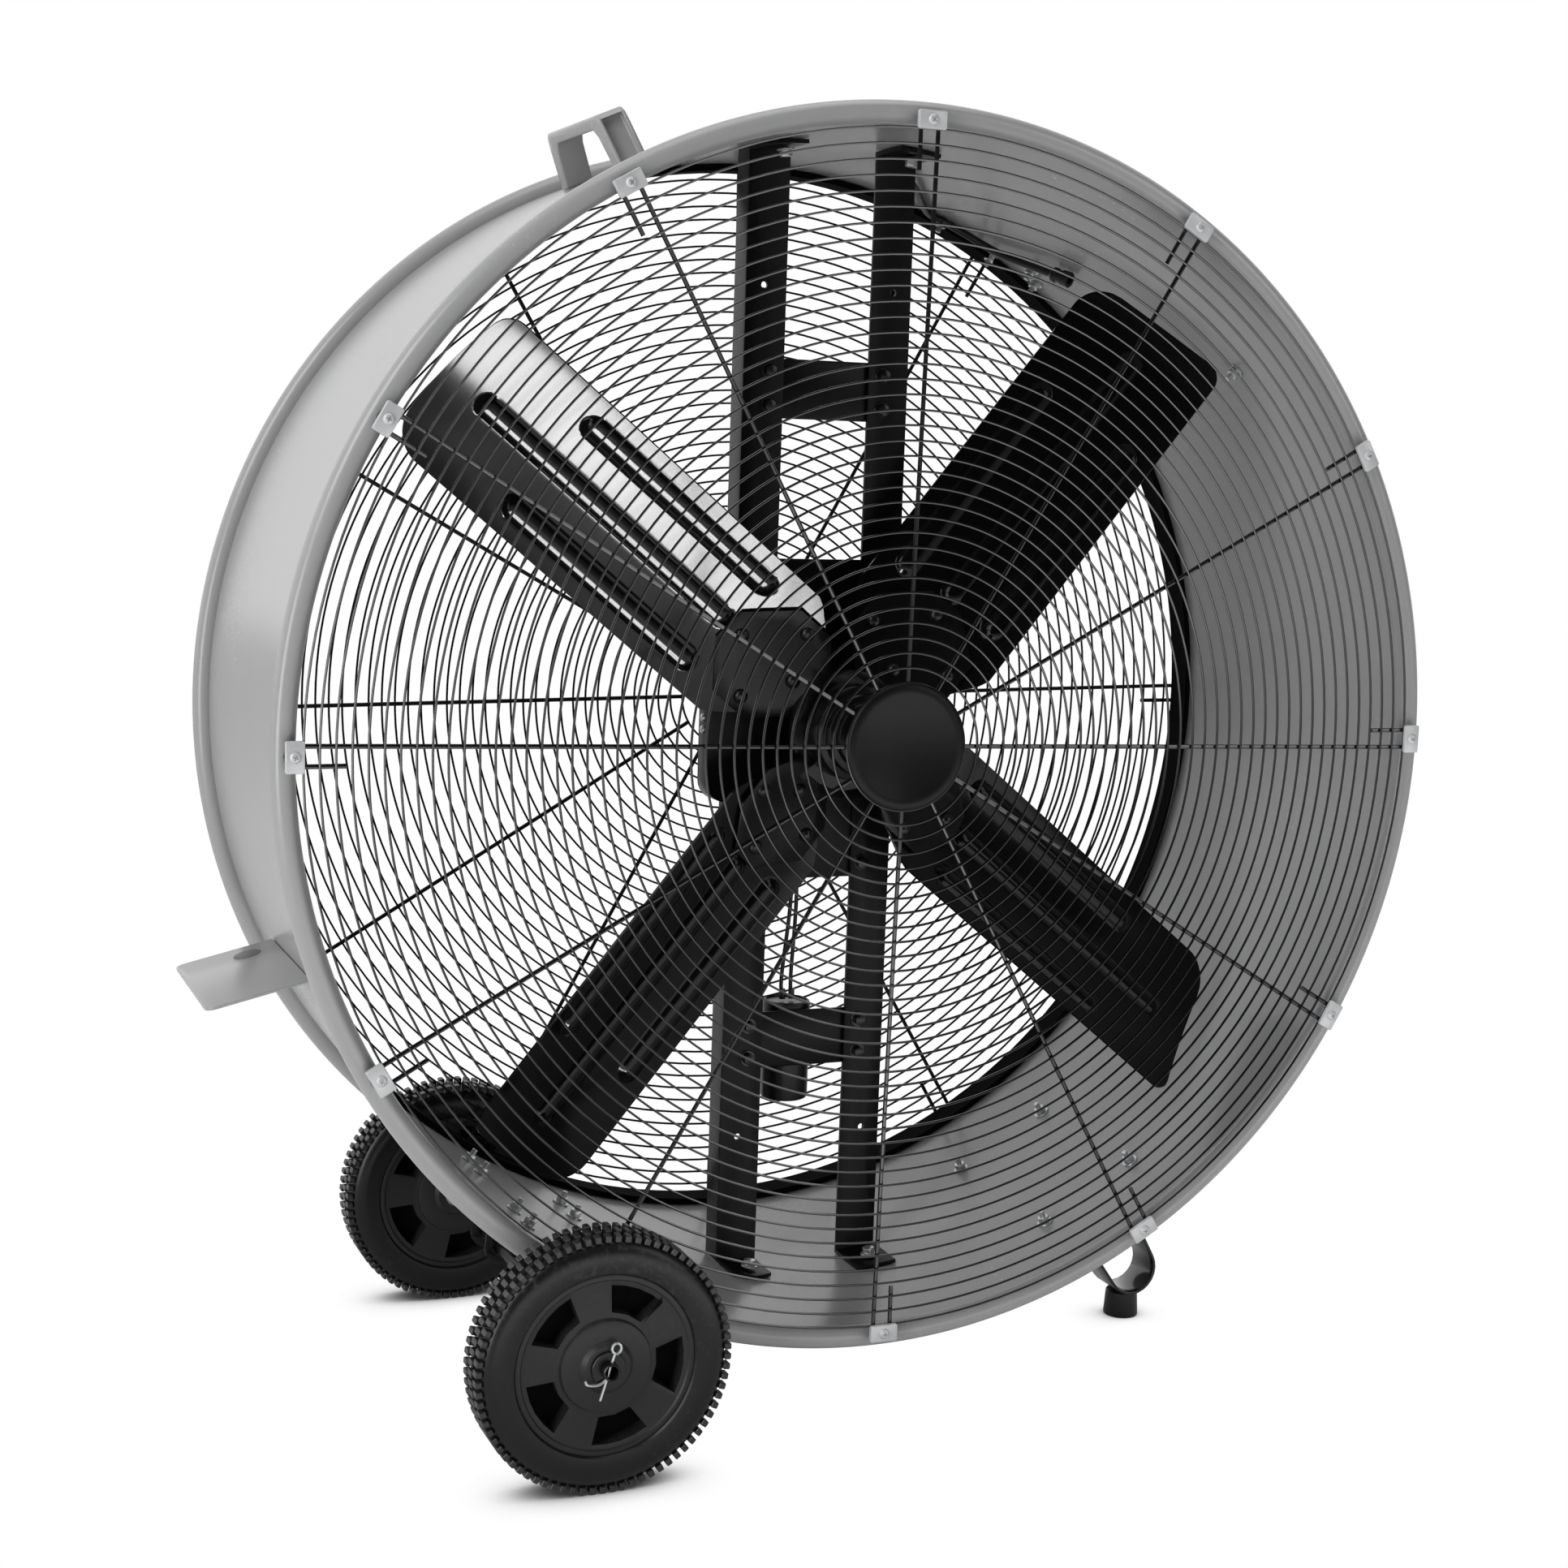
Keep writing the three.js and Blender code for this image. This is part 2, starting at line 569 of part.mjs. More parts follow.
function addFanWheel() {
  place('blade_spider', bladeSpider(), blackPaint, aboutAxis);
  bladeAngles().forEach((angle, i) => {
    const mesh = place(`blade_${i + 1}`, blade(), bladePaint, aboutAxis);
    mesh.position.y = FAN_Y;
    mesh.rotation.y = -rad(angle);
  });
  const hubBore = bore(SHAFT_RADIUS, GAP, 16);
  const shoulder = HUB_FRONT + HUB.step;
  const hub = turned([
    [hubBore, HUB_FRONT], [HUB.nose, HUB_FRONT], [HUB.nose, shoulder], [HUB.radius - 6, shoulder],
    [HUB.radius, shoulder + 6], [HUB.radius, HUB_BACK], [hubBore, HUB_BACK], [hubBore, HUB_FRONT],
  ], 24);
  place('hub_boss', hub, blackPaint, aboutAxis);
}

// ---------------------------------------------------------------- capacitor and leads

function addCapacitor() {
  const plateRear = PLATE_FRONT + CROSS_PLATE.thickness;
  const strapOutside = CAPACITOR.radius + GAP + CAPACITOR.strapSheet;
  const y = plateRear + GAP + strapOutside;
  const z = -CROSS_PLATE.middle - CAPACITOR.below;
  const top = CAPACITOR.height;
  const can = turned([
    [0, 0], [CAPACITOR.radius - 2, 0], [CAPACITOR.radius, 3], [CAPACITOR.radius, top - 4],
    [CAPACITOR.radius - 2, top], [0, top],
  ], 24).rotateX(Math.PI / 2).translate(CAPACITOR.x, y, z);
  place('capacitor', can, canMetal, aboutAxis);
  const half = CAPACITOR.strap / 2;
  const strap = ring(bore(CAPACITOR.radius, GAP, 24), strapOutside + GAP / 2, -half, half, 24)
    .rotateX(Math.PI / 2).translate(CAPACITOR.x, y, -CROSS_PLATE.middle);
  place('capacitor_strap', strap, zinc, aboutAxis);

  const canTop = z + top + GAP;
  const underMotor = -MOTOR_RADIUS - GAP;
  const lead = swept(roundedRectangle(TWIN_LEAD.thickness, TWIN_LEAD.width, TWIN_LEAD.thickness / 2.01), [
    new THREE.Vector3(CAPACITOR.x + 4, y + 8, underMotor),
    new THREE.Vector3(CAPACITOR.x + 4, y + 8, underMotor - 25),
    new THREE.Vector3(CAPACITOR.x + 8, y + 9, (underMotor + canTop) / 2),
    new THREE.Vector3(CAPACITOR.x, y, canTop + 25),
    new THREE.Vector3(CAPACITOR.x, y, canTop),
  ], 14);
  place('capacitor_lead', lead, cableJacket, aboutAxis);
}

function addMotorLead() {
  const onWall = WALL_SEAT - LEAD_RADIUS;
  const glandRadial = WALL_SEAT - GLAND.radius;
  const start = polar(GLAND.angle, GLAND.y, glandRadial);
  const towards = polar(GLAND.angle + 3, GLAND.y + 44, glandRadial).sub(start).normalize();
  const mouth = start.clone().addScaledVector(towards, GLAND.length / 2 + GAP);
  const behindRail = RAIL_FRONT + RAIL_FLANGE + 3 * GAP + LEAD_RADIUS;
  const down = FLANGE_X - LEAD_RADIUS;
  const entry = 50; // angle round the motor where the lead goes in
  const points = [
    mouth,
    mouth.clone().addScaledVector(towards, 12),
    polar(61, 152, onWall - 3),
    polar(LEAD_CLIP.angle - 2.6, LEAD_CLIP.y + 1, onWall),
    polar(LEAD_CLIP.angle, LEAD_CLIP.y, onWall),
    polar(LEAD_CLIP.angle + 2.6, LEAD_CLIP.y - 5, onWall),
    polar(77, 74, onWall - 3),
    new THREE.Vector3(down + 6, behindRail + 14, onWall - 24),
    new THREE.Vector3(down, behindRail + 4, onWall - 60),
    new THREE.Vector3(down, behindRail + 0.5, 440),
    new THREE.Vector3(down, behindRail, 360),
    new THREE.Vector3(down, behindRail, 260),
    new THREE.Vector3(down, behindRail + 1, 150),
    polar(entry, 42, MOTOR_RADIUS + 26),
    polar(entry, 46, MOTOR_RADIUS + 3 * GAP),
  ];
  place('motor_lead', swept(roundSection(LEAD_RADIUS, 8), points, 42), cableJacket, aboutAxis);

  const gland = new THREE.CylinderGeometry(GLAND.radius - 1, GLAND.radius - 1, GLAND.length, 8);
  const turn = new THREE.Quaternion().setFromUnitVectors(new THREE.Vector3(0, 1, 0), towards);
  const glandMesh = place('cable_gland', gland, blackPlastic, aboutAxis);
  glandMesh.position.copy(start);
  glandMesh.quaternion.copy(turn);

  // a sheet loop over the lead with one foot on the wall
  const loop = LEAD_RADIUS + LEAD_CLIP.sheet / 2 + 4 * GAP;
  const arch = Array.from({ length: 7 }, (_, i) => {
    const a = Math.PI * (1 + i / 6);
    return vec(loop * Math.cos(a), onWall + loop * Math.sin(a));
  });
  const foot = WALL_SEAT - LEAD_CLIP.sheet;
  const path = [...arch, vec(loop, foot), vec(loop + LEAD_CLIP.foot, foot)];
  const clip = sideSlab(bentSheet(path, LEAD_CLIP.sheet), -LEAD_CLIP.width / 2, LEAD_CLIP.width / 2);
  place('lead_clip', clip.translate(0, LEAD_CLIP.y, 0), blackPlastic, onDrum(LEAD_CLIP.angle));
}

// ---------------------------------------------------------------- switch box, handle, side tab

function addSwitchBox() {
  const spot = onDrum(BOX.angle);
  const middle = DRUM_DEPTH / 2 - BOX.rear - BOX.length / 2;
  const seat = DRUM_RADIUS + GAP;
  const box = tray(BOX.width, BOX.length, BOX.depth, BOX.sheet, BOX.corner, 0);
  box.rotateX(-Math.PI / 2).translate(0, middle, seat + BOX.depth);
  place('switch_box', box, blackPlastic, spot);
  const face = middle - BOX.length / 2 - GAP;
  const knob = turned([
    [0, face - KNOB.height], [KNOB.radius - 3, face - KNOB.height], [KNOB.radius - 1, face - KNOB.height + 3],
    [KNOB.radius, face], [0, face],
  ], 20);
  place('speed_knob', knob.translate(0, 0, seat + KNOB.rise), blackPlastic, spot);
}

function addHandle() {
  const seat = DRUM_RADIUS + GAP;
  const top = seat + HANDLE.height;
  const under = top - HANDLE.grip;
  const base = HANDLE.base / 2;
  const crown = HANDLE.top / 2;
  const ease = 8; // flats across the corners of the grip
  const outline = polygon([
    [-base, seat], [-base + HANDLE.leg, seat], [-crown + HANDLE.leg, under - ease],
    [-crown + HANDLE.leg + ease, under], [crown - HANDLE.leg - ease, under],
    [crown - HANDLE.leg, under - ease], [base - HANDLE.leg, seat], [base, seat],
    [crown + 2, top - 2 * ease], [crown - 2, top - ease / 2], [crown - ease, top],
    [ease - crown, top], [2 - crown, top - ease / 2], [-crown - 2, top - 2 * ease],
  ]);
  const grip = sideSlab(outline, -HANDLE.width / 2, HANDLE.width / 2);
  place('handle', grip, drumPaint, onDrum(HANDLE.angle));
}

function addSideBracket() {
  const spot = onDrum(BRACKET.angle);
  const half = BRACKET.width / 2;
  const corner = BRACKET.corner;
  const sheet = new THREE.Shape();
  sheet.moveTo(-half, 0).lineTo(half, 0);
  sheet.absarc(half - corner, BRACKET.reach - corner, corner, 0, Math.PI / 2);
  sheet.absarc(corner - half, BRACKET.reach - corner, corner, Math.PI / 2, Math.PI);
  const seat = DRUM_RADIUS + GAP;
  const tab = sideSlab(sheet, -BRACKET.sheet / 2, BRACKET.sheet / 2, 4)
    .rotateY(rad(BRACKET.lean)).translate(0, 0, seat + BRACKET.sheet / 4);
  const flange = new THREE.BoxGeometry(BRACKET.flange, BRACKET.width, BRACKET.sheet)
    .translate(-BRACKET.flange / 2, 0, seat + BRACKET.sheet / 2);
  place('side_bracket', join(tab, flange), drumPaint, spot);
}

// ---------------------------------------------------------------- wheels

function wheelDisc() {
  const start = Math.PI / DISC_SIDES;
  const axleBore = bore(AXLE_RADIUS + RUN + BUSH_WALL, GAP, DISC_SIDES);
  const outside = TYRE.bore - GAP;
  const end = WHEEL_HUB.length / 2;
  const boss = WHEEL_HUB.bossThickness / 2;
  const web = WHEEL_HUB.web / 2;
  const rim = TYRE.width / 2 - 3;
  const half = [
    [outside, rim], [outside - WHEEL_HUB.rim, rim], [outside - WHEEL_HUB.rim - 2, web],
    [WHEEL_HUB.boss + 3, web], [WHEEL_HUB.boss, boss], [WHEEL_HUB.radius, boss + 3], [WHEEL_HUB.radius, end],
    [axleBore, end],
  ];
  const front = half.map(([r, y]) => [r, -y]).reverse();
  const disc = turned([...front, ...half, front[0]], DISC_SIDES, start);
  const windows = Array.from({ length: WINDOWS.count }, (_, i) => {
    const from = WINDOWS.first + (360 / WINDOWS.count) * i - WINDOWS.span / 2;
    const shape = sector(WINDOWS.inner, WINDOWS.outer, from, from + WINDOWS.span);
    const floor = WINDOWS.floor / 2;
    return [slab(shape, -2 * web, -floor, 2), slab(shape, floor, 2 * web, 2)];
  });
  return cut(disc, ...windows.flat());
}

function tyre() {
  const half = TYRE.width / 2;
  const crown = TYRE.crown / 2;
  const shoulder = WHEEL_RADIUS - 4;
  const waist = (WHEEL_RADIUS + TYRE.bore) / 2;
  const outline = [
    [TYRE.bore, 2 - half], [waist, -half], [shoulder, 1.5 - half], [WHEEL_RADIUS, -crown],
    [WHEEL_RADIUS, crown], [shoulder, half - 1.5], [waist, half], [TYRE.bore, half - 2],
  ];
  return turned([...outline, outline[0]], TYRE_SIDES, Math.PI / TYRE_SIDES);
}

// A round wire through the axle with a loop above it.
function cotterPin() {
  const stem = [-COTTER.length / 2, -AXLE_RADIUS, 0, AXLE_RADIUS, AXLE_RADIUS + COTTER.radius];
  const points = stem.map((z) => new THREE.Vector3(0, 0, z));
  const middle = COTTER.length / 2 + COTTER.loop;
  for (const degrees of [-50, 0, 50, 100, 150, 200]) {
    const a = rad(degrees);
    points.push(new THREE.Vector3(COTTER.loop * Math.cos(a), 0, middle + COTTER.loop * Math.sin(a)));
  }
  return swept(roundSection(COTTER.radius, 6), points, 16);
}

function addWheels() {
  const axleLine = new THREE.Group();
  axleLine.position.set(AXLE_X, 0, AXLE_HEIGHT);
  fan.add(axleLine);
  const axleEnd = WHEEL_Y + AXLE_STUB;
  const bushRadius = AXLE_RADIUS + RUN + BUSH_WALL;
  const hubEnd = WHEEL_HUB.length / 2;
  const pinY = WHEEL_Y + hubEnd + 2 * GAP + WASHER.thickness + COTTER.radius;
  const rod = turned([[0, -axleEnd], [AXLE_RADIUS, -axleEnd], [AXLE_RADIUS, axleEnd], [0, axleEnd]], 16);
  const holeRadius = bore(COTTER.radius, 2 * GAP, 8);
  const holes = [-pinY, pinY].map((y) => new THREE.CylinderGeometry(
    holeRadius, holeRadius, 4 * AXLE_RADIUS, 8).rotateX(Math.PI / 2).translate(0, y, 0));
  place('axle', cut(rod, ...holes), zinc, axleLine);

  for (const [name, side] of [['front', -1], ['rear', 1]]) {
    const wheel = new THREE.Group();
    wheel.position.y = side * WHEEL_Y;
    axleLine.add(wheel);
    place(`${name}_tyre`, tyre(), rubber, wheel);
    place(`${name}_wheel_disc`, wheelDisc(), wheelPlastic, wheel);
    const bush = ring(bore(AXLE_RADIUS, RUN, 16), bushRadius, -hubEnd, hubEnd, 16);
    place(`${name}_wheel_bush`, bush, steel, wheel);
    const washerInner = hubEnd + GAP;
    const washerFaces = [side * washerInner, side * (washerInner + WASHER.thickness)].sort((a, b) => a - b);
    const washer = ring(bore(AXLE_RADIUS, GAP, 16), WASHER.radius, ...washerFaces, 16);
    place(`${name}_washer`, washer, zinc, wheel);
    const pin = place(`${name}_cotter_pin`, cotterPin(), zinc, axleLine);
    pin.position.y = side * pinY;
  }
}

// A saddle on the drum's skin with two ears that hold the axle.
function axleHanger() {
  const seat = DRUM_RADIUS + 2 * GAP;
  const saddle = slab(sector(seat, seat + HANGER.sheet, 90 - HANGER.span / 2, 90 + HANGER.span / 2),
    -HANGER.width / 2, HANGER.width / 2, 5);
  const ear = new THREE.Shape();
  ear.moveTo(-HANGER.foot, seat + 1).lineTo(HANGER.foot, seat + 1);
  ear.absarc(0, AXLE_RADIAL, HANGER.nose, rad(10), rad(170));
  const earFront = HANGER.width / 2 - 6;
  const ears = [-earFront, earFront - HANGER.sheet].map((y) => slab(ear, y, y + HANGER.sheet, 5));
  const axleHole = new THREE.CylinderGeometry(1, 1, 2 * HANGER.width, 16)
    .scale(bore(AXLE_RADIUS, GAP, 16), 1, bore(AXLE_RADIUS, GAP, 16)).translate(0, 0, AXLE_RADIAL);
  return cut(join(saddle, ...ears), axleHole);
}

function addHangers() {
  for (const [name, side] of [['front', -1], ['rear', 1]]) {
    const hanger = place(`${name}_axle_hanger`, axleHanger(), blackPaint, onDrum(AXLE_ANGLE));
    hanger.position.y = side * HANGER.y;
  }
}

// ---------------------------------------------------------------- foot

// The point where a line from outside a circle touches it, on the left or the right of the line.
function touchPoint(from, centre, radius, side) {
  const away = from.clone().sub(centre);
  const turn = side * Math.acos(radius / away.length());
  return away.setLength(radius).rotateAround(vec(0, 0), turn).add(centre);
}

function footStrapPath() {
  const centre = vec(FOOT_X, FOOT.height + GAP + FOOT_STRAP.sheet / 2 + FOOT_STRAP.bend);
  const seat = DRUM_RADIUS + 2 * GAP + SADDLE.sheet + 2 * GAP;
  const onSaddle = (angle) => vec(seat * Math.cos(rad(angle)), AXIS_HEIGHT + seat * Math.sin(rad(angle)));
  const left = onSaddle(FOOT_STRAP.left);
  const right = onSaddle(FOOT_STRAP.right);
  const start = touchPoint(left, centre, FOOT_STRAP.bend, 1).sub(centre).angle();
  const stop = touchPoint(right, centre, FOOT_STRAP.bend, -1).sub(centre).angle() + 2 * Math.PI;
  const steps = 12;
  const bend = Array.from({ length: steps + 1 }, (_, i) => {
    const a = start + ((stop - start) * i) / steps;
    return vec(FOOT_STRAP.bend * Math.cos(a), FOOT_STRAP.bend * Math.sin(a)).add(centre);
  });
  return [left, ...bend, right];
}

function addFoot() {
  const seat = DRUM_RADIUS + 2 * GAP;
  const half = SADDLE.span / 2;
  const saddle = slab(sector(seat, seat + SADDLE.sheet, SADDLE.angle - half, SADDLE.angle + half),
    FOOT.y - SADDLE.width / 2, FOOT.y + SADDLE.width / 2, 8);
  place('foot_saddle', saddle, drumPaint, aboutAxis);
  const strap = slab(bentSheet(footStrapPath(), FOOT_STRAP.sheet),
    FOOT.y - FOOT_STRAP.width / 2, FOOT.y + FOOT_STRAP.width / 2);
  place('foot_strap', strap, blackPaint, fan);
  const pad = turned([
    [0, 0], [FOOT.radius - 1, 0], [FOOT.radius, 2], [FOOT.radius - 2, FOOT.height], [0, FOOT.height],
  ], 24).rotateX(Math.PI / 2).translate(FOOT_X, FOOT.y, 0);
  place('rubber_foot', pad, rubber, fan);
}

// ---------------------------------------------------------------- the whole fan

addDrum();
addRails();
addMotor();
addFanWheel();
addCapacitor();
addMotorLead();
addSwitchBox();
addHandle();
addSideBracket();
addWheels();
addHangers();
addFoot();

// the origin is on the floor, under the middle of the whole
fan.updateMatrixWorld(true);
fan.position.x = -new THREE.Box3().setFromObject(fan).getCenter(new THREE.Vector3()).x;

export default fan;
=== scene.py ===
import math

import bpy
from mathutils import Matrix, Vector


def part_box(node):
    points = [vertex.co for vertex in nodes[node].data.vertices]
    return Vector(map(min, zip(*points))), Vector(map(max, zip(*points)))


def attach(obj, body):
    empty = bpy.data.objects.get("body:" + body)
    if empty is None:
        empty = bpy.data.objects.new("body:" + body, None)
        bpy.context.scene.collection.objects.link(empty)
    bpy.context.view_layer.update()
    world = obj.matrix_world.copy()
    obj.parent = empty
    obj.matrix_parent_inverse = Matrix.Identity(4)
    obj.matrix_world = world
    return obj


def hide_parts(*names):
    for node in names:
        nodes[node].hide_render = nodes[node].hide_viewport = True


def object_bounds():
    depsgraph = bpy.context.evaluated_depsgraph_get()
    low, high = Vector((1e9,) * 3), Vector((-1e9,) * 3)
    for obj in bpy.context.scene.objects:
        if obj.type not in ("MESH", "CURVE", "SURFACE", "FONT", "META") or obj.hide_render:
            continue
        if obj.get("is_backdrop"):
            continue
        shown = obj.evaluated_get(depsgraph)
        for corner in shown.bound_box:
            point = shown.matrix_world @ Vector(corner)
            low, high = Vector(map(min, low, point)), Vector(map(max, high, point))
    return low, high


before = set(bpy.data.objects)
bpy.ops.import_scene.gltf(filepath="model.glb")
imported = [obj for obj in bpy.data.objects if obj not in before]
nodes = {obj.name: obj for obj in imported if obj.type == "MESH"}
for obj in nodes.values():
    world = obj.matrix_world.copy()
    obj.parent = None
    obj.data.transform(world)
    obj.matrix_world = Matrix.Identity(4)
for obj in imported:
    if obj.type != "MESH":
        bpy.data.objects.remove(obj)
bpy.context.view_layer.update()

# ---------------------------------------------------------------- camera, floor and light
# The fan stands on a white studio floor. White light comes from behind, from above and from the left, the
# side of the camera is darker, and a card on the floor puts the gleam on the upper left blade.

drum_low, drum_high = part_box("drum")
hub = (drum_low + drum_high) / 2  # middle of the drum, on the fan's axis

EYE = hub + Vector((-0.9580, -2.2374, 0.2654))
HEADING, DIP, TILT = (math.radians(a) for a in (22.6, 7.8, 1.93))
PHOTO_SIDE = 1932  # pixels
FOCAL = 2938.85  # pixels

bpy.ops.object.camera_add()
camera = bpy.context.object
level_aim = Matrix.Rotation(-HEADING, 3, "Z") @ Matrix.Rotation(math.pi / 2 - DIP, 3, "X")
aim = level_aim @ Matrix.Rotation(TILT, 3, "Z")
camera.matrix_world = Matrix.Translation(EYE) @ aim.to_4x4()
SENSOR = 36  # mm
camera.data.sensor_width = SENSOR
camera.data.lens = SENSOR * FOCAL / PHOTO_SIDE
bpy.context.scene.camera = camera
bpy.context.scene.view_settings.view_transform = "Standard"


class Shade:
    """A socket of a finish's nodes: sums on it add Math nodes, and node() adds any other node."""

    def __init__(self, tree, socket=None):
        self.tree = tree
        self.socket = socket

    def node(self, kind, settings=(), inputs=(), output=0):
        made = self.tree.nodes.new(kind)
        for name, value in dict(settings).items():
            if name != "stops":
                setattr(made, name, value)
                continue
            ramp = made.color_ramp.elements
            while len(ramp) < len(value):
                ramp.new(1)
            for stop, (place, level) in zip(ramp, value):
                stop.position = place
                stop.color = (level, level, level, 1)
        for name, value in dict(inputs).items():
            if isinstance(value, Shade):
                self.tree.links.new(value.socket, made.inputs[name])
            else:
                made.inputs[name].default_value = value
        return Shade(self.tree, made.outputs[output]) if made.outputs else None

    def maths(self, operation, first, second):
        return self.node("ShaderNodeMath", {"operation": operation}, {0: first, 1: second})

    def __add__(self, other):
        return self.maths("ADD", self, other)

    def __mul__(self, other):
        return self.maths("MULTIPLY", self, other)

    def __sub__(self, other):
        return self.maths("SUBTRACT", self, other)

    def __rsub__(self, other):
        return self.maths("SUBTRACT", other, self)

    __radd__ = __add__
    __rmul__ = __mul__


def softbox(place, target, width, height, power, lights_matt=True):
    """A flat lamp that faces the target. One that doesn't light matt surfaces only shows as a gleam."""
    bpy.ops.object.light_add(type="AREA")
    lamp = bpy.context.object
    toward = (Vector(target) - Vector(place)).to_track_quat("-Z", "Y")
    lamp.matrix_world = Matrix.Translation(place) @ toward.to_matrix().to_4x4()
    lamp.data.shape = "RECTANGLE"
    lamp.data.size = width
    lamp.data.size_y = height
    lamp.data.energy = power
    lamp.visible_camera = False
    lamp.visible_diffuse = lights_matt
    return lamp


softbox((-3.4, -1.6, 3.2), hub, 2.2, 2.2, 80)
softbox((-3.0, -1.7, 0.75), hub + Vector((0.5, 0, 0)), 1.2, 1.6, 34)
softbox((2.8, -3.0, 2.2), hub, 1.4, 2.4, 24)
softbox((0.2, -0.4, 4.4), hub, 3.0, 2.4, 45)
softbox((0.4, -0.9, 0.03), (0.4, -0.3, 1.0), 2.0, 1.2, 10)
gleam_place = Vector((-0.62, -0.77, 0.012))
gleam_card = softbox(gleam_place, gleam_place + Vector((0, 0, 1)), 0.94, 0.50, 84, lights_matt=False)
card_turn = Matrix.Rotation(math.radians(29), 4, "Z") @ Matrix.Rotation(math.pi, 4, "X")  # faces up
gleam_card.matrix_world = Matrix.Translation(gleam_place) @ card_turn
gleaming = bpy.data.collections.new("gleaming")  # the card shines on the blades alone
gleam_card.light_linking.receiver_collection = gleaming

world = bpy.data.worlds.new("studio")
bpy.context.scene.world = world
world.use_nodes = True
world.node_tree.nodes.clear()
sky = Shade(world.node_tree)
to_camera = sky.node("ShaderNodeLightPath", output="Is Camera Ray")
direction = sky.node("ShaderNodeTexCoord", output="Generated")
rearward = sky.node("ShaderNodeSeparateXYZ", inputs={0: direction}, output="Y")
BACKDROP = [(0.0, 0.03), (0.44, 0.05), (0.62, 0.95), (1.0, 1.05)]
glow = sky.node("ShaderNodeValToRGB", {"stops": BACKDROP}, {"Fac": rearward * 0.5 + 0.5})
level = sky.node("ShaderNodeMix", {"data_type": "RGBA"}, {0: to_camera, 6: glow, 7: (1, 1, 1, 1)}, output=2)
lit = sky.node("ShaderNodeBackground", inputs={"Color": level, "Strength": 1.0})
sky.node("ShaderNodeOutputWorld", inputs={"Surface": lit})

bpy.ops.mesh.primitive_plane_add(size=80)
floor = bpy.context.object
floor.name = "studio_floor"
white = bpy.data.materials.new("white_floor")
white.use_nodes = True
white.node_tree.nodes.clear()
ground = Shade(white.node_tree)
# To the camera the floor glows instead of being lit. It is white away from the fan, and its contact shadows
# are painted shadow, darkened from ambient occlusion near the wheels and the foot. Other rays see a plain
# matt floor.
seen = ground.node("ShaderNodeLightPath", output="Is Camera Ray")
plain = ground.node("ShaderNodeBsdfDiffuse", inputs={"Color": (0.85, 0.85, 0.85, 1)})
near = ground.node("ShaderNodeAmbientOcclusion", {"samples": 12}, {"Distance": 0.075}, output="AO")
PAINTED_CONTACT_SHADOW = [(0.22, 0.03), (0.45, 0.30), (0.62, 0.78), (0.78, 1.0)]
shadow = ground.node("ShaderNodeValToRGB", {"stops": PAINTED_CONTACT_SHADOW}, {"Fac": near})
shown = ground.node("ShaderNodeEmission", inputs={"Color": shadow, "Strength": 1.0})
blend = ground.node("ShaderNodeMixShader", inputs={0: seen, 1: plain, 2: shown})
ground.node("ShaderNodeOutputMaterial", inputs={"Surface": blend})
floor.data.materials.append(white)
floor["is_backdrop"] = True

# ---------------------------------------------------------------- drum
# The drum is one sheet of steel rolled to a ring, with both edges rolled outwards into round beads. It is
# sprayed mid grey inside and out. A thin matt black ring inside the rear bead is painted shade, the shadow
# inside the rolled rear edge.

BEAD = 0.011  # radius of a bead's section
BEAD_CENTRE = drum_high.x - hub.x - BEAD
BEAD_Y = drum_high.y - BEAD
SKIN_OUTSIDE = BEAD_CENTRE - 0.004
SKIN_INSIDE = SKIN_OUTSIDE - 0.002


def traced(points):
    """A vertex drawn out from point to point. The line stays in edit mode with all of it selected."""
    bpy.ops.object.select_all(action="DESELECT")
    bpy.ops.mesh.primitive_plane_add(size=0.01)
    bpy.ops.object.mode_set(mode="EDIT")
    bpy.ops.mesh.merge(type="CENTER")
    bpy.ops.transform.translate(value=points[0])
    for here, there in zip(points, points[1:]):
        bpy.ops.mesh.extrude_region_move(TRANSFORM_OT_translate={"value": Vector(there) - Vector(here)})
    bpy.ops.mesh.select_all(action="SELECT")
    bpy.ops.mesh.remove_doubles(threshold=1e-6)


def closed_up():
    """Merges what coincides in the mesh that is being edited and turns its faces outwards."""
    bpy.ops.mesh.select_all(action="SELECT")
    bpy.ops.mesh.remove_doubles(threshold=1e-6)
    bpy.ops.mesh.normals_make_consistent(inside=False)
    bpy.ops.object.mode_set(mode="OBJECT")
    return bpy.context.object


def turned(outline, centre, along=(0, 1, 0), steps=64):
    """A piece turned on a lathe, from (radius, distance along the line) points."""
    along = Vector(along).normalized()
    out = along.orthogonal().normalized()
    points = [Vector(centre) + out * radius + along * distance for radius, distance in outline]
    on_axis = outline[0][0] == 0 and outline[-1][0] == 0
    traced(points if on_axis else points + points[:1])
    bpy.ops.mesh.spin(steps=steps, angle=2 * math.pi, center=centre, axis=along)
    return closed_up()


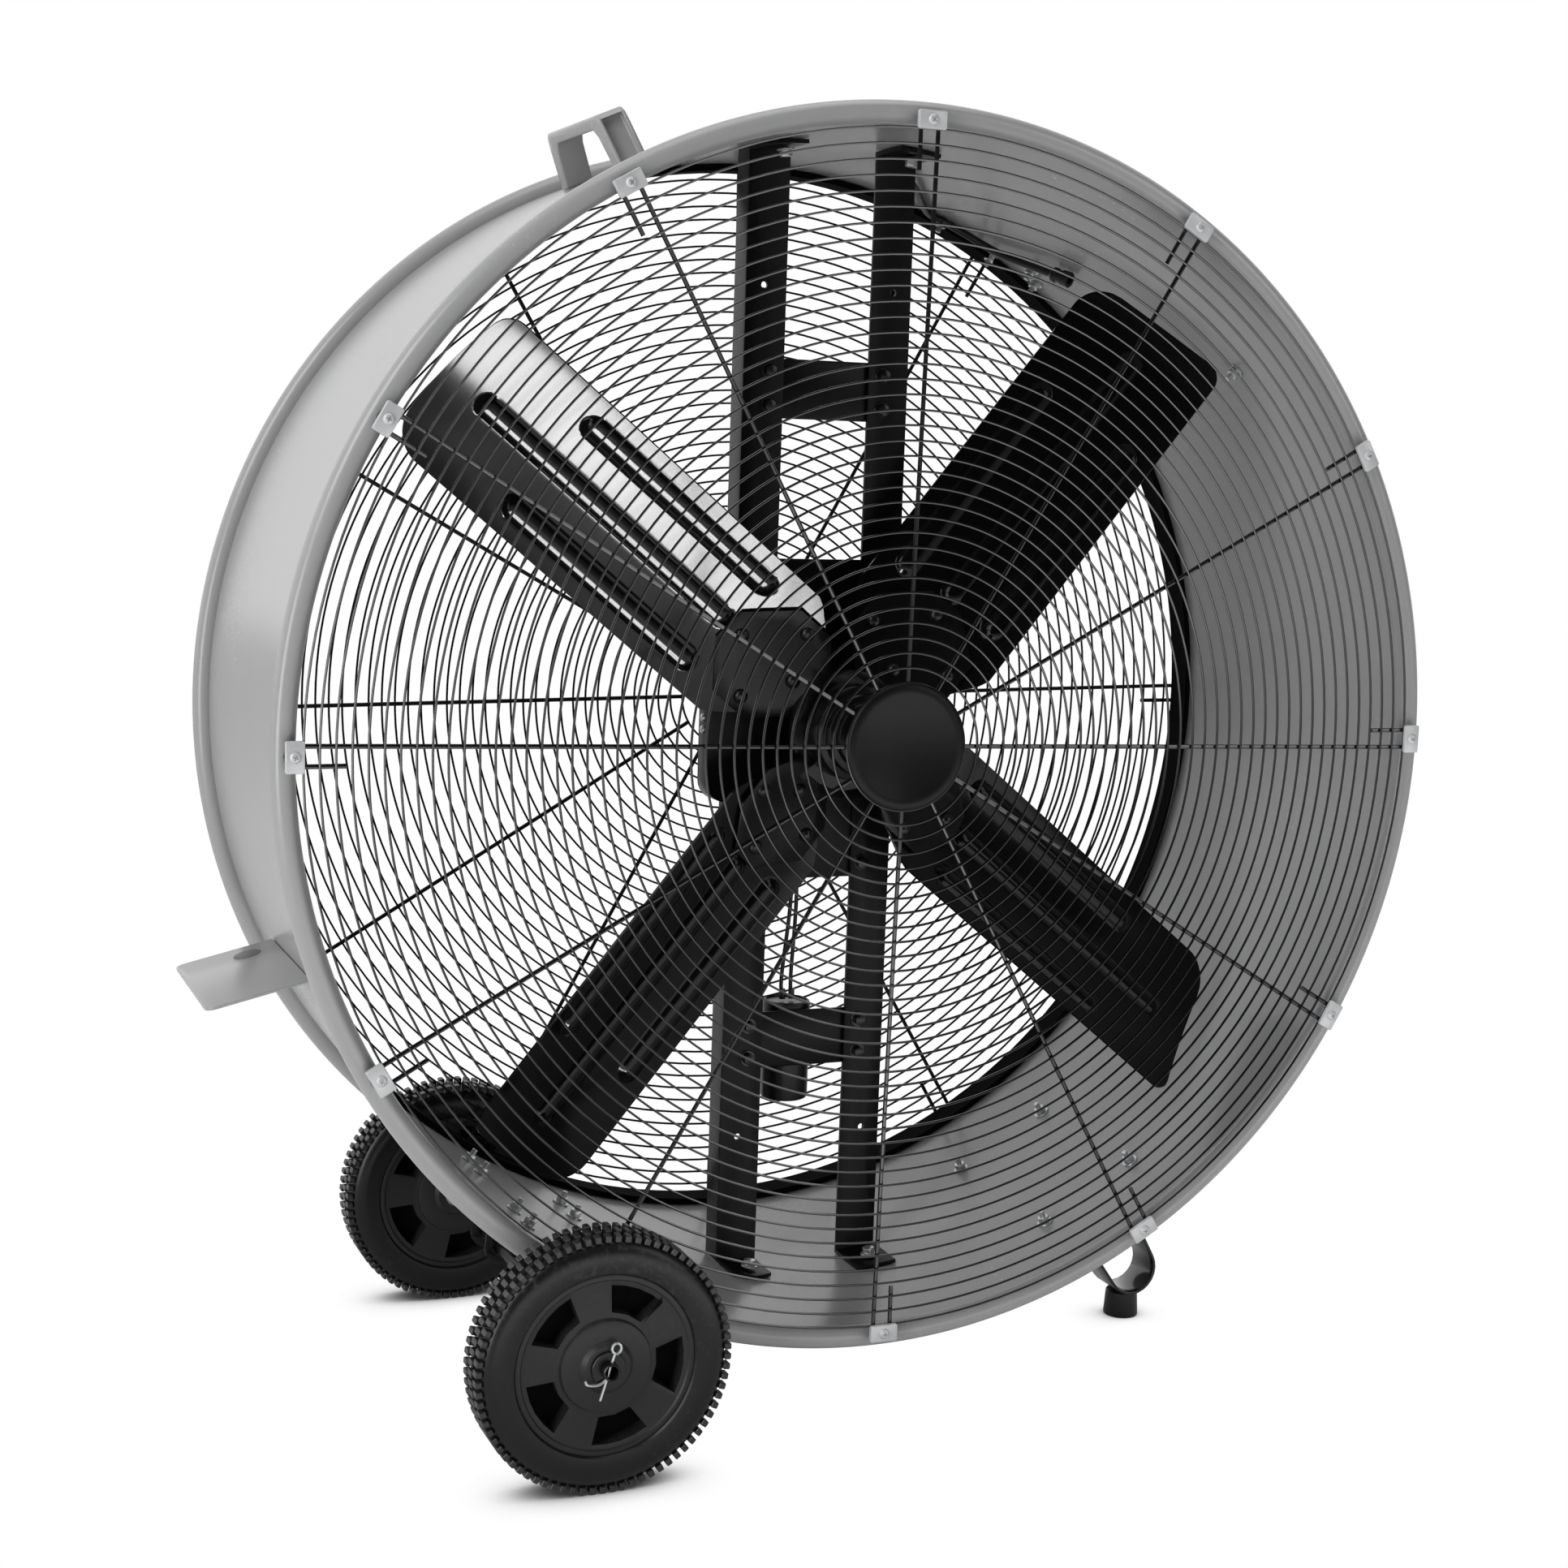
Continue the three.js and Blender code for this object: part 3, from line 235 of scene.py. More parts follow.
def finish(name, colour, roughness, metallic=0.0, wander=0.05, grain=300.0, relief=0.04, dust=0.0,
           dust_tone=0.3, coat=0.0, sheen=0.5):
    """A sprayed, plated or moulded finish: its tone wanders, its surface has a grain and dust lies on it."""
    made = bpy.data.materials.new(name)
    made.use_nodes = True
    made.node_tree.nodes.clear()
    start = Shade(made.node_tree)
    place = start.node("ShaderNodeTexCoord", output="Object")
    clouds = start.node("ShaderNodeTexNoise", inputs={"Vector": place, "Scale": 5.0, "Detail": 5.0})
    fine = start.node("ShaderNodeTexNoise", inputs={"Vector": place, "Scale": grain, "Detail": 3.0})
    specks = start.node("ShaderNodeTexNoise", inputs={"Vector": place, "Scale": 170.0, "Detail": 6.0})
    tone = 1 + (clouds - 0.5) * (2 * wander) + (fine - 0.5) * wander
    body = start.node("ShaderNodeVectorMath", {"operation": "SCALE"}, {0: colour, "Scale": tone})
    settled = (specks * 0.6 + clouds * 0.5 - 0.62) * 9 * dust
    mask = start.node("ShaderNodeClamp", inputs={"Value": settled, "Min": 0.0, "Max": dust})
    dusty = start.node("ShaderNodeMix", {"data_type": "RGBA"},
                       {0: mask, 6: body, 7: (dust_tone, dust_tone, dust_tone, 1)}, output=2)
    rough = roughness + (clouds - 0.5) * 0.12 + mask * 0.3
    bump = start.node("ShaderNodeBump", inputs={"Strength": relief, "Distance": 0.001, "Height": fine})
    surface = start.node("ShaderNodeBsdfPrincipled", inputs={
        "Base Color": dusty, "Roughness": rough, "Metallic": metallic, "Coat Weight": coat,
        "Coat Roughness": 0.08, "Specular IOR Level": sheen, "Normal": bump})
    start.node("ShaderNodeOutputMaterial", inputs={"Surface": surface})
    return made


def fitted(name, body, material, slot, *stands_for, smooth=35):
    """Names the piece in hand, gives it its finish and puts it on the body that carries it."""
    made = bpy.context.object
    made.name = name
    made.data.materials.clear()
    made.data.materials.append(material)
    bpy.ops.object.select_all(action="DESELECT")
    made.select_set(True)
    bpy.ops.object.shade_smooth_by_angle(angle=math.radians(smooth))
    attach(made, body)
    if stands_for:
        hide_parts(*stands_for)
    return made


def round_bead(end, start, stop, steps):
    """Points on a bead's section, by their angle from the outside of the rim."""
    angles = [math.radians(start + (stop - start) * i / steps) for i in range(steps + 1)]
    return [(BEAD_CENTRE + BEAD * math.cos(a), end * BEAD_Y + BEAD * math.sin(a)) for a in angles]


outer_meet = math.degrees(math.acos((SKIN_OUTSIDE - BEAD_CENTRE) / BEAD))
inner_meet = math.degrees(math.acos((SKIN_INSIDE - BEAD_CENTRE) / BEAD))
section = round_bead(-1, inner_meet, 360 + outer_meet, 22)
section += round_bead(1, -outer_meet, 360 - inner_meet, 22)
turned(section, (hub.x, 0, hub.z), steps=288)
drum_grey = finish("drum_grey", (0.300, 0.301, 0.303), 0.23, wander=0.045, grain=900, relief=0.05,
                   dust=0.10, dust_tone=0.44)
fitted("rolled_drum", "frame", drum_grey, "drum_paint", "drum")

# A matt black that is painted shade: it stands for the shadow inside the rear bead and in the wheels'
# pockets.
painted_shade_black = finish("painted_shade_black", (0.004, 0.004, 0.004), 0.9, wander=0.2, grain=700, relief=0.1,
                     sheen=0.05)
# The ring of painted shade lines the inside of the rear bead.
SHADE_RING_INSIDE = BEAD_CENTRE - BEAD - 0.0022
SHADE_RING_SHEET = 0.0018
SHADE_RING_FRONT, SHADE_RING_REAR = BEAD_Y - 0.022, BEAD_Y + 0.0095
shade_ring = [(SHADE_RING_INSIDE, SHADE_RING_FRONT), (SKIN_INSIDE - 0.001, SHADE_RING_FRONT), (SKIN_INSIDE - 0.004, BEAD_Y - 0.010),
        (SHADE_RING_INSIDE + SHADE_RING_SHEET, BEAD_Y), (SHADE_RING_INSIDE + SHADE_RING_SHEET, SHADE_RING_REAR), (SHADE_RING_INSIDE, SHADE_RING_REAR)]
turned(shade_ring, (hub.x, 0, hub.z), steps=192)
fitted("rear_painted_shade_ring", "frame", painted_shade_black, "rear_wire")

# ---------------------------------------------------------------- rails, cross plates and motor plate
# Two folded steel channels run down the drum with a tab at each end bolted to the wall. Two cross plates
# and the motor's plate are bolted across them, all in a rough charcoal powder coat.


def softened(node, width, segments=2):
    """A copy of a CAD piece with its sharp edges broken, as folding and tumbling leave them."""
    bpy.ops.object.select_all(action="DESELECT")
    made = bpy.data.objects.new(node + "_copy", nodes[node].data.copy())
    bpy.context.scene.collection.objects.link(made)
    bpy.context.view_layer.objects.active = made
    made.select_set(True)
    bpy.ops.object.mode_set(mode="EDIT")
    bpy.ops.mesh.select_all(action="SELECT")
    bpy.ops.mesh.remove_doubles(threshold=2e-6)
    bpy.ops.mesh.dissolve_limited(angle_limit=math.radians(0.5))
    bpy.ops.object.mode_set(mode="OBJECT")
    eased(width, segments)
    return made


def block(place, size):
    """A box at its place, in hand."""
    bpy.ops.object.select_all(action="DESELECT")
    bpy.ops.mesh.primitive_cube_add(size=1, location=place)
    bpy.ops.transform.resize(value=size)
    bpy.ops.object.transform_apply(location=True, rotation=True, scale=True)
    return bpy.context.object


def peg(place, radius, depth, sides):
    """A round peg along the fan's axis, in hand."""
    bpy.ops.object.select_all(action="DESELECT")
    bpy.ops.mesh.primitive_cylinder_add(vertices=sides, radius=radius, depth=depth, location=place,
                                        rotation=(math.pi / 2, 0, 0))
    bpy.ops.object.transform_apply(location=True, rotation=True, scale=True)
    return bpy.context.object


def eased(width, segments=2, sharper_than=32):
    """Rounds the sharp edges of the piece in hand."""
    piece = bpy.context.object
    bpy.ops.object.modifier_add(type="BEVEL")
    edge = piece.modifiers[-1]
    edge.width = width
    edge.segments = segments
    edge.limit_method = "ANGLE"
    edge.angle_limit = math.radians(sharper_than)
    bpy.ops.object.modifier_apply(modifier=edge.name)


def cut_away(piece, cutter):
    """Takes the cutter's shape out of the piece, which stays in hand."""
    bpy.ops.object.select_all(action="DESELECT")
    bpy.context.view_layer.objects.active = piece
    piece.select_set(True)
    bpy.ops.object.modifier_add(type="BOOLEAN")
    cut = piece.modifiers[-1]
    cut.operation = "DIFFERENCE"
    cut.solver = "EXACT"
    cut.object = cutter
    bpy.ops.object.modifier_apply(modifier=cut.name)
    bpy.data.objects.remove(cutter)


def joined(pieces):
    """One piece out of several."""
    bpy.ops.object.select_all(action="DESELECT")
    for piece in pieces:
        piece.select_set(True)
    bpy.context.view_layer.objects.active = pieces[0]
    if len(pieces) > 1:
        bpy.ops.object.join()
    return pieces[0]


def set_down(master, place, out, up=(0, 0, 1)):
    """A copy of a piece made at the origin, moved to its place, with its +Z turned outwards."""
    out = Vector(out).normalized()
    across = Vector(up).cross(out)
    if across.length < 1e-4:
        across = Vector((1, 0, 0)).cross(out)
    across.normalize()
    turn = Matrix((across, out.cross(across), out)).transposed().to_4x4()
    copy = master.copy()
    copy.data = master.data.copy()
    copy.data.transform(Matrix.Translation(place) @ turn)
    bpy.context.scene.collection.objects.link(copy)
    return copy


def hexagon_bolt(width, height, washer):
    """A bolt head on its washer, standing on the plane through the origin."""
    collar = turned([(0, 0), (washer, 0), (washer, 0.0012), (washer - 0.0004, 0.0016), (0, 0.0016)],
                    (0, 0, 0), (0, 0, 1), 24)
    bpy.ops.object.select_all(action="DESELECT")
    bpy.ops.mesh.primitive_cylinder_add(vertices=6, radius=width / math.sqrt(3), depth=height,
                                        location=(0, 0, 0.0016 + height / 2))
    bpy.ops.object.transform_apply(location=True, rotation=True, scale=True)
    eased(0.0006)
    return joined([bpy.context.object, collar])


charcoal = finish("charcoal_powder_coat", (0.0035, 0.0035, 0.0037), 0.32, wander=0.3, grain=900,
                  relief=0.16, dust=0.14, dust_tone=0.03, sheen=0.15)
PLATES = {"rail_left": "left_channel", "rail_right": "right_channel",
          "upper_cross_plate": "upper_tie_plate", "lower_cross_plate": "lower_tie_plate",
          "motor_mount_plate": "motor_plate"}
RAIL_HOLES = ((0.070, -0.433), (0.070, 0.433))  # from the fan's axis, one pair in each rail
HOLE = 0.0035
for node, name in PLATES.items():
    plate = softened(node, 0.0007)
    if node.startswith("rail"):
        side = -1 if node == "rail_left" else 1
        for x, z in RAIL_HOLES:
            cut_away(plate, peg((hub.x + side * x, -0.009, hub.z + z), HOLE, 0.03, 16))
    fitted(name, "frame", charcoal, "rail_paint", node)

black_bolts = finish("black_bolts", (0.03, 0.03, 0.031), 0.26, metallic=0.8, wander=0.2, grain=600,
                     relief=0.05)
TAB_DEPTH = 0.058
rail_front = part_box("rail_left")[0].y + TAB_DEPTH  # front of the webs, behind the tabs
head = hexagon_bolt(0.011, 0.006, 0.0085)
PLATE_BOLTS = ((0.062, (-0.350, -0.316, 0.316, 0.350)), (0.058, (-0.149, 0.149)))  # x, and each z
joined([set_down(head, (hub.x + side * x, rail_front, hub.z + z), (0, -1, 0))
        for x, heights in PLATE_BOLTS for side in (-1, 1) for z in heights])
fitted("rail_bolts", "frame", black_bolts, "rail_paint")

zinc = finish("zinc_plate", (0.56, 0.57, 0.58), 0.3, metallic=0.85, wander=0.12, grain=240, relief=0.06)
TAB_FACE = SKIN_INSIDE - 0.0045  # inner face of the tabs at their ends
FLATNESS = 0.9925  # in their middle the tabs lie further in, because they are flat and the wall is round
TAB_BOLT_X, TAB_BOLT_Y = 0.068, -0.048
tab_bolts = []
for x in (-TAB_BOLT_X, TAB_BOLT_X):
    for end in (1, -1):
        inward = Vector((-x, 0, -end * math.sqrt(TAB_FACE ** 2 - x * x)))
        place = Vector((hub.x, TAB_BOLT_Y, hub.z)) - inward * FLATNESS
        tab_bolts.append(set_down(head, place, inward, (0, 1, 0)))
joined(tab_bolts)
fitted("tab_bolts", "frame", zinc, "zinc")

# ---------------------------------------------------------------- motor and its tray
# A deep black tray closes the front of the rails. Behind it hangs the motor, a cast shell and a vented rear
# bell held by four long bolts; the shaft runs forward through both to the fan wheel.

satin_black = finish("satin_black", (0.004, 0.004, 0.004), 0.24, wander=0.2, grain=350, relief=0.06,
                     dust=0.06, dust_tone=0.03, sheen=0.25)
softened("motor_pan", 0.0012)
fitted("motor_tray", "frame", satin_black, "black_paint", "motor_pan")

pan_low, pan_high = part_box("motor_pan")
small_screw = turned([(0, 0), (0.0042, 0), (0.0042, 0.0008), (0.0034, 0.0022), (0.0016, 0.003), (0, 0.0031)],
                     (0, 0, 0), (0, 0, 1), 20)
SCREW_Y, SCREW_Z = -0.024, 0.006
joined([set_down(small_screw, (x, SCREW_Y, hub.z + z), (out, 0, 0))
        for x, out in ((pan_low.x, -1), (pan_high.x, 1)) for z in (SCREW_Z, -SCREW_Z)])
fitted("tray_screws", "frame", zinc, "zinc")

shell_low, shell_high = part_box("motor_body")
bell_low, bell_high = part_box("motor_rear_bell")
MOTOR_RADIUS = (shell_high.x - shell_low.x) / 2
SHELL_BORE = 0.012
COLLAR = MOTOR_RADIUS - 0.001
GROOVE = MOTOR_RADIUS - 0.0035
COOLING_RIBS = 9
ribs = []
for i in range(COOLING_RIBS):
    y = shell_low.y + 0.016 + i * (shell_high.y - shell_low.y - 0.026) / COOLING_RIBS
    ribs += [(GROOVE, y), (MOTOR_RADIUS, y + 0.0012), (MOTOR_RADIUS, y + 0.0040), (GROOVE, y + 0.0052)]
shell = [(SHELL_BORE, shell_low.y), (MOTOR_RADIUS - 0.006, shell_low.y), (COLLAR, shell_low.y + 0.004),
         (COLLAR, shell_low.y + 0.012), *ribs, (COLLAR, shell_high.y - 0.004), (COLLAR, shell_high.y),
         (SHELL_BORE, shell_high.y)]
turned(shell, (hub.x, 0, hub.z), steps=96)
fitted("motor_shell", "frame", satin_black, "black_paint", "motor_body")

bell = [(0, bell_low.y), (MOTOR_RADIUS, bell_low.y), (MOTOR_RADIUS, bell_low.y + 0.006),
        (MOTOR_RADIUS - 0.003, bell_low.y + 0.008), (MOTOR_RADIUS - 0.004, bell_low.y + 0.018),
        (MOTOR_RADIUS - 0.012, bell_high.y - 0.008), (MOTOR_RADIUS - 0.022, bell_high.y - 0.003),
        (0.032, bell_high.y - 0.003), (0.029, bell_high.y), (0.004, bell_high.y), (0, bell_high.y)]
rear_bell = turned(bell, (hub.x, 0, hub.z), steps=96)


def repeated_round(count, centre):
    """Copies the piece in hand round a line along the fan's axis, until there are count of it."""
    bpy.ops.object.mode_set(mode="EDIT")
    bpy.ops.mesh.select_all(action="SELECT")
    bpy.ops.mesh.spin(steps=count - 1, dupli=True, angle=2 * math.pi * (count - 1) / count,
                      center=centre, axis=(0, 1, 0))
    bpy.ops.object.mode_set(mode="OBJECT")
    return bpy.context.object


VENTS = 10
block((hub.x + 0.051, bell_high.y, hub.z), (0.030, 0.024, 0.010))
eased(0.0045, 3)
cut_away(rear_bell, repeated_round(VENTS, (hub.x, 0, hub.z)))
fitted("vented_bell", "frame", satin_black, "black_paint", "motor_rear_bell")


def on_drum(angle, y, radius):
    """A place by its angle round the fan's axis, in degrees from the right."""
    a = math.radians(angle)
    return Vector((hub.x + radius * math.cos(a), y, hub.z + radius * math.sin(a)))


THROUGH_BOLTS = 0.072  # distance from the axis
joined([set_down(head, on_drum(angle, bell_low.y + 0.017, THROUGH_BOLTS), (0, 1, 0))
        for angle in (45, 135, 225, 315)])
fitted("motor_through_bolts", "frame", zinc, "zinc")

ground_steel = finish("ground_steel", (0.45, 0.45, 0.46), 0.22, metallic=1.0, wander=0.08, grain=700,
                      relief=0.05)
for node, body in (("motor_shaft", "fan_wheel"), ("motor_rotor", "fan_wheel"), ("front_bearing", "frame"),
                   ("rear_bearing", "frame")):
    low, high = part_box(node)
    if node == "motor_shaft":
        radius = (high.x - low.x) / 2
        turned([(0, low.y), (radius - 0.001, low.y), (radius, low.y + 0.001), (radius, high.y), (0, high.y)],
               (hub.x, 0, hub.z), steps=32)
        fitted("ground_shaft", body, ground_steel, "steel", node)
    else:
        nodes[node].material_slots[0].material = ground_steel

# ---------------------------------------------------------------- fan wheel
# Four wide blades of black enamelled sheet are riveted to the arms of a pressed spider, and the spider is
# bolted to a stepped hub on the shaft. Each blade is cambered, with three long ribs pressed forwards.

FAN_Y = -0.093
PITCH = math.radians(26)
CAMBER = 0.011
CHORD = 0.165
BLADE_SHEET = 0.0025
BLADE_START = 0.064
FIRST_BLADE = 51
RIBS = ((0.166, 0.488, 0.0), (0.160, 0.407, -0.054), (0.160, 0.407, 0.054))
RIB_HALF_WIDTH = 0.0115
RIB_HEIGHT = 0.0058
TIP_RADIUS = 0.530
LEADING_CORNER = 0.034
TRAILING_CORNER = 0.018
ROOT_SHOULDER = 0.125
SHOULDER_STEP = (0.010, 0.005)  # along and across, where the root reaches full width
ROOT_HALF = 0.038


def blade_frame(angle):
    """From a blade's own axes (out along the blade, rearward, round the drum) to the fan's place."""
    a = math.radians(angle)
    axes = Matrix(((math.cos(a), 0, -math.sin(a)), (0, 1, 0), (math.sin(a), 0, math.cos(a))))
    return Matrix.Translation((hub.x, FAN_Y, hub.z)) @ axes.to_4x4()


def on_blade(out, across, raised):
    """A point near a blade: distance out from the axis, across the chord and up from the middle sheet."""
    bow = (across * math.cos(PITCH)) ** 2 / (2 * TIP_RADIUS) * (out / TIP_RADIUS) ** 2
    lift = CAMBER * (0.5 - (2 * across / CHORD) ** 2) + raised
    return Vector((out - bow, across * math.sin(PITCH) + lift * math.cos(PITCH),
                   across * math.cos(PITCH) - lift * math.sin(PITCH)))


def rib_height(out, across):
    """How far the ribs stand up at a place on a blade."""
    height = 0.0
    for start, end, line in RIBS:
        beyond = max(start + RIB_HALF_WIDTH - out, out - end + RIB_HALF_WIDTH, 0)
        nearness = 1 - (beyond ** 2 + (across - line) ** 2) / RIB_HALF_WIDTH ** 2
        if nearness > 0:
            height = max(height, RIB_HEIGHT * nearness ** 0.62)
    return height


def half_width(out, corner):
    """Half the blade's width at a distance from the axis, with its narrow root and rounded tip."""
    half = CHORD / 2
    along, narrower = SHOULDER_STEP
    flare = ROOT_SHOULDER - along
    if out < flare:
        return ROOT_HALF + (half - narrower - ROOT_HALF) * (out - BLADE_START) / (flare - BLADE_START)
    if out < ROOT_SHOULDER:
        return half - narrower * (ROOT_SHOULDER - out) / along
    into = out - (TIP_RADIUS - corner)
    if into > 0:
        return half - corner + math.sqrt(max(corner ** 2 - into ** 2, 0))
    return half


LENGTHS, WIDTHS = 176, 72
TIP_CROWDING = 1.12  # above 1, the mesh is finer towards the tip
bpy.ops.object.select_all(action="DESELECT")
bpy.ops.mesh.primitive_grid_add(x_subdivisions=LENGTHS, y_subdivisions=WIDTHS, size=2)
pressing = bpy.context.object
for vertex in pressing.data.vertices:
    along = (vertex.co.x + 1) / 2
    out = BLADE_START + (TIP_RADIUS - BLADE_START) * (1 - (1 - along) ** TIP_CROWDING)
    across = vertex.co.y * half_width(out, LEADING_CORNER if vertex.co.y > 0 else TRAILING_CORNER)
    vertex.co = on_blade(out, across, -rib_height(out, across))
bpy.ops.object.modifier_add(type="SOLIDIFY")
pressing.modifiers[-1].thickness = BLADE_SHEET
pressing.modifiers[-1].offset = 0
bpy.ops.object.modifier_apply(modifier=pressing.modifiers[-1].name)
bpy.ops.object.mode_set(mode="EDIT")
closed_up()
blade_black = finish("blade_black", (0.002, 0.002, 0.002), 0.13, wander=0.15, grain=120, relief=0.003,
                     dust=0.03, dust_tone=0.015, sheen=0.2)
for i in range(4):
    blade = pressing.copy()
    blade.data = pressing.data.copy()
    blade.data.transform(blade_frame(FIRST_BLADE + 90 * i))
    bpy.context.scene.collection.objects.link(blade)
    gleaming.objects.link(blade)
    bpy.context.view_layer.objects.active = blade
    fitted(f"ribbed_blade_{i + 1}", "fan_wheel", blade_black, "blade_paint", f"blade_{i + 1}", smooth=50)
bpy.data.objects.remove(pressing)

softened("blade_spider", 0.0006)
fitted("riveted_spider", "fan_wheel", satin_black, "black_paint", "blade_spider", smooth=40)

RIVET_PLACES = ((0.077, 0.0), (0.148, 0.0), (0.104, 0.046), (0.104, -0.046))
PAD_SHEET = 0.003
PAD_FRONT = -(BLADE_SHEET / 2 + 0.0006 + PAD_SHEET)
dome = turned([(0, 0), (0.0075, 0), (0.0073, 0.0016), (0.0060, 0.0036), (0.0036, 0.0050), (0, 0.0056)],
              (0, 0, 0), (0, 0, 1), 24)
rivets = []
for i in range(4):
    to_fan = blade_frame(FIRST_BLADE + 90 * i)
    for out, across in RIVET_PLACES:
        foot = to_fan @ on_blade(out, across, PAD_FRONT)
        rivets.append(set_down(dome, foot, foot - to_fan @ on_blade(out, across, PAD_FRONT + 0.01)))
joined(rivets)
fitted("blade_rivets", "fan_wheel", black_bolts, "black_paint")
bpy.data.objects.remove(dome)

boss_low, boss_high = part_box("hub_boss")
BOSS = (boss_high.x - boss_low.x) / 2
BOSS_BORE = 0.0083
steps = [(BOSS_BORE, 0), (0.022, 0), (0.0245, 0.002), (0.0250, 0.010), (0.0330, 0.0115), (0.0340, 0.0185),
         (0.0400, 0.0200), (0.0410, 0.0280), (BOSS - 0.001, 0.0300), (BOSS, 0.032)]
stepped = [(radius, boss_low.y + back) for radius, back in steps]
turned([*stepped, (BOSS, boss_high.y), (BOSS_BORE, boss_high.y)], (hub.x, 0, hub.z), steps=96)
eased(0.0006)
fitted("stepped_hub", "fan_wheel", satin_black, "black_paint", "hub_boss")

# ---------------------------------------------------------------- capacitor and its leads
# The run capacitor is a drawn can behind the lower cross plate, held by a strap. A twin lead goes from its
# two terminals up to the motor.

can_low, can_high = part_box("capacitor")
can_centre = (can_low + can_high) / 2
CAN = (can_high.x - can_low.x) / 2
can_metal = finish("can_metal", (0.02, 0.02, 0.021), 0.3, metallic=0.5, wander=0.12, grain=500, relief=0.04)
height = can_high.z - can_low.z
can = [(0, 0), (CAN - 0.003, 0), (CAN - 0.001, 0.001), (CAN, 0.004), (CAN, height - 0.005),
       (CAN - 0.0008, height - 0.0012), (CAN - 0.003, height), (CAN - 0.0036, height - 0.002),
       (0, height - 0.002)]
turned(can, (can_centre.x, can_centre.y, can_low.z), (0, 0, 1), 64)
fitted("drawn_can", "frame", can_metal, "can_metal", "capacitor")
strap_low, strap_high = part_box("capacitor_strap")
hoop, hoop_inside = (strap_high.x - strap_low.x) / 2, CAN + 0.0003
turned([(hoop_inside, strap_low.z), (hoop, strap_low.z), (hoop, strap_high.z), (hoop_inside, strap_high.z)],
       (can_centre.x, can_centre.y, 0), (0, 0, 1), 64)
eased(0.0004)
fitted("can_strap", "frame", zinc, "zinc", "capacitor_strap")


def eased_route(points, steps):
    """A smooth line through given points, as a stiff cable takes."""
    ends = [points[0] * 2 - points[1], *points, points[-1] * 2 - points[-2]]
    line = []
    for before, start, end, after in zip(ends, ends[1:], ends[2:], ends[3:]):
        for i in range(steps):
            t = i / steps
            line.append((start * 2 + (end - before) * t + (before * 2 - start * 5 + end * 4 - after) * t ** 2
                         + (start * 3 - before - end * 3 + after) * t ** 3) / 2)
    return [*line, points[-1]]


def tube(points, radius, sides=8):
    """A round wire or cable along a line, with closed ends."""
    traced(points)
    bpy.ops.object.mode_set(mode="OBJECT")
    bpy.ops.object.convert(target="CURVE")
    wire = bpy.context.object
    wire.data.bevel_depth = radius
    wire.data.bevel_resolution = sides // 2 - 2
    wire.data.use_fill_caps = True
    bpy.ops.object.convert(target="MESH")
    bpy.ops.object.mode_set(mode="EDIT")
    return closed_up()


black_jacket = finish("black_jacket", (0.005, 0.005, 0.005), 0.45, wander=0.15, grain=500, relief=0.08)
lead_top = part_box("capacitor_lead")[1].z
terminal = Vector((can_centre.x, can_centre.y, can_high.z))
TERMINAL = 0.0052  # from the middle of the can
rise = lead_top - terminal.z
cores = []
for offset in (-TERMINAL, TERMINAL):
    route = [(0.004 + offset * 0.45, 0.008, rise), (0.004 + offset * 0.45, 0.008, rise - 0.025),
             (0.008 + offset * 0.6, 0.009, rise / 2), (offset, 0.003, 0.025), (offset, 0, 0.0004)]
    cores.append(tube(eased_route([terminal + Vector(point) for point in route], 8), 0.0021))
    sleeve = [(offset, 0, 0.0003), (offset, 0, 0.0110)]
    cores.append(tube([terminal + Vector(point) for point in sleeve], 0.0033, 10))
joined(cores)
fitted("can_leads", "frame", black_jacket, "cable_jacket", "capacitor_lead")

# ---------------------------------------------------------------- motor lead, gland and fittings on the wall
# A black cable leaves the switch box through a gland in the wall, runs back under a clip and down behind
# the right rail to the motor. Bolts and nuts of what is fixed outside stick through the wall.

LEAD = 0.004
WALL = SKIN_INSIDE * math.cos(math.pi / 60) - 0.0003  # inner wall as the CAD's flats have it
on_wall = WALL - LEAD
gland = on_drum(56.3, 0.084, WALL - 0.009)
lead_way = (on_drum(59.3, 0.128, WALL - 0.009) - gland).normalized()
mouth = gland + lead_way * 0.0123
rail_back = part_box("rail_right")[1]
behind_rail = rail_back.y + 0.0009 + LEAD
down = rail_back.x - LEAD
motor_spot = on_drum(50, 0.046, MOTOR_RADIUS + 0.0009)
route = [mouth, mouth + lead_way * 0.012, on_drum(61, 0.152, on_wall - 0.003), on_drum(65.4, 0.173, on_wall),
         on_drum(68, 0.172, on_wall), on_drum(70.6, 0.167, on_wall), on_drum(77, 0.074, on_wall - 0.003),
         Vector((down + 0.006, behind_rail + 0.014, hub.z + on_wall - 0.024)),
         Vector((down, behind_rail + 0.004, hub.z + on_wall - 0.060)),
         Vector((down, behind_rail + 0.0005, hub.z + 0.44)), Vector((down, behind_rail, hub.z + 0.36)),
         Vector((down, behind_rail, hub.z + 0.26)), Vector((down, behind_rail + 0.001, hub.z + 0.15)),
         on_drum(50, 0.042, MOTOR_RADIUS + 0.026), motor_spot]
tube(eased_route(route, 10), LEAD, 12)
fitted("supply_cable", "frame", black_jacket, "cable_jacket", "motor_lead")

black_plastic = finish("black_plastic", (0.003, 0.003, 0.003), 0.34, wander=0.12, grain=450, relief=0.08,
                       dust=0.04, dust_tone=0.02)
nut = [(0.0045, -0.012), (0.0085, -0.012), (0.0085, -0.003), (0.0072, -0.002), (0.0072, 0.004),
       (0.0082, 0.005), (0.0082, 0.009), (0.0060, 0.0118), (0.0045, 0.0118)]
turned(nut, gland, lead_way, 24)
fitted("cable_nut", "frame", black_plastic, "black_plastic", "cable_gland")
softened("lead_clip", 0.0004)
fitted("cable_clip", "frame", black_plastic, "black_plastic", "lead_clip")

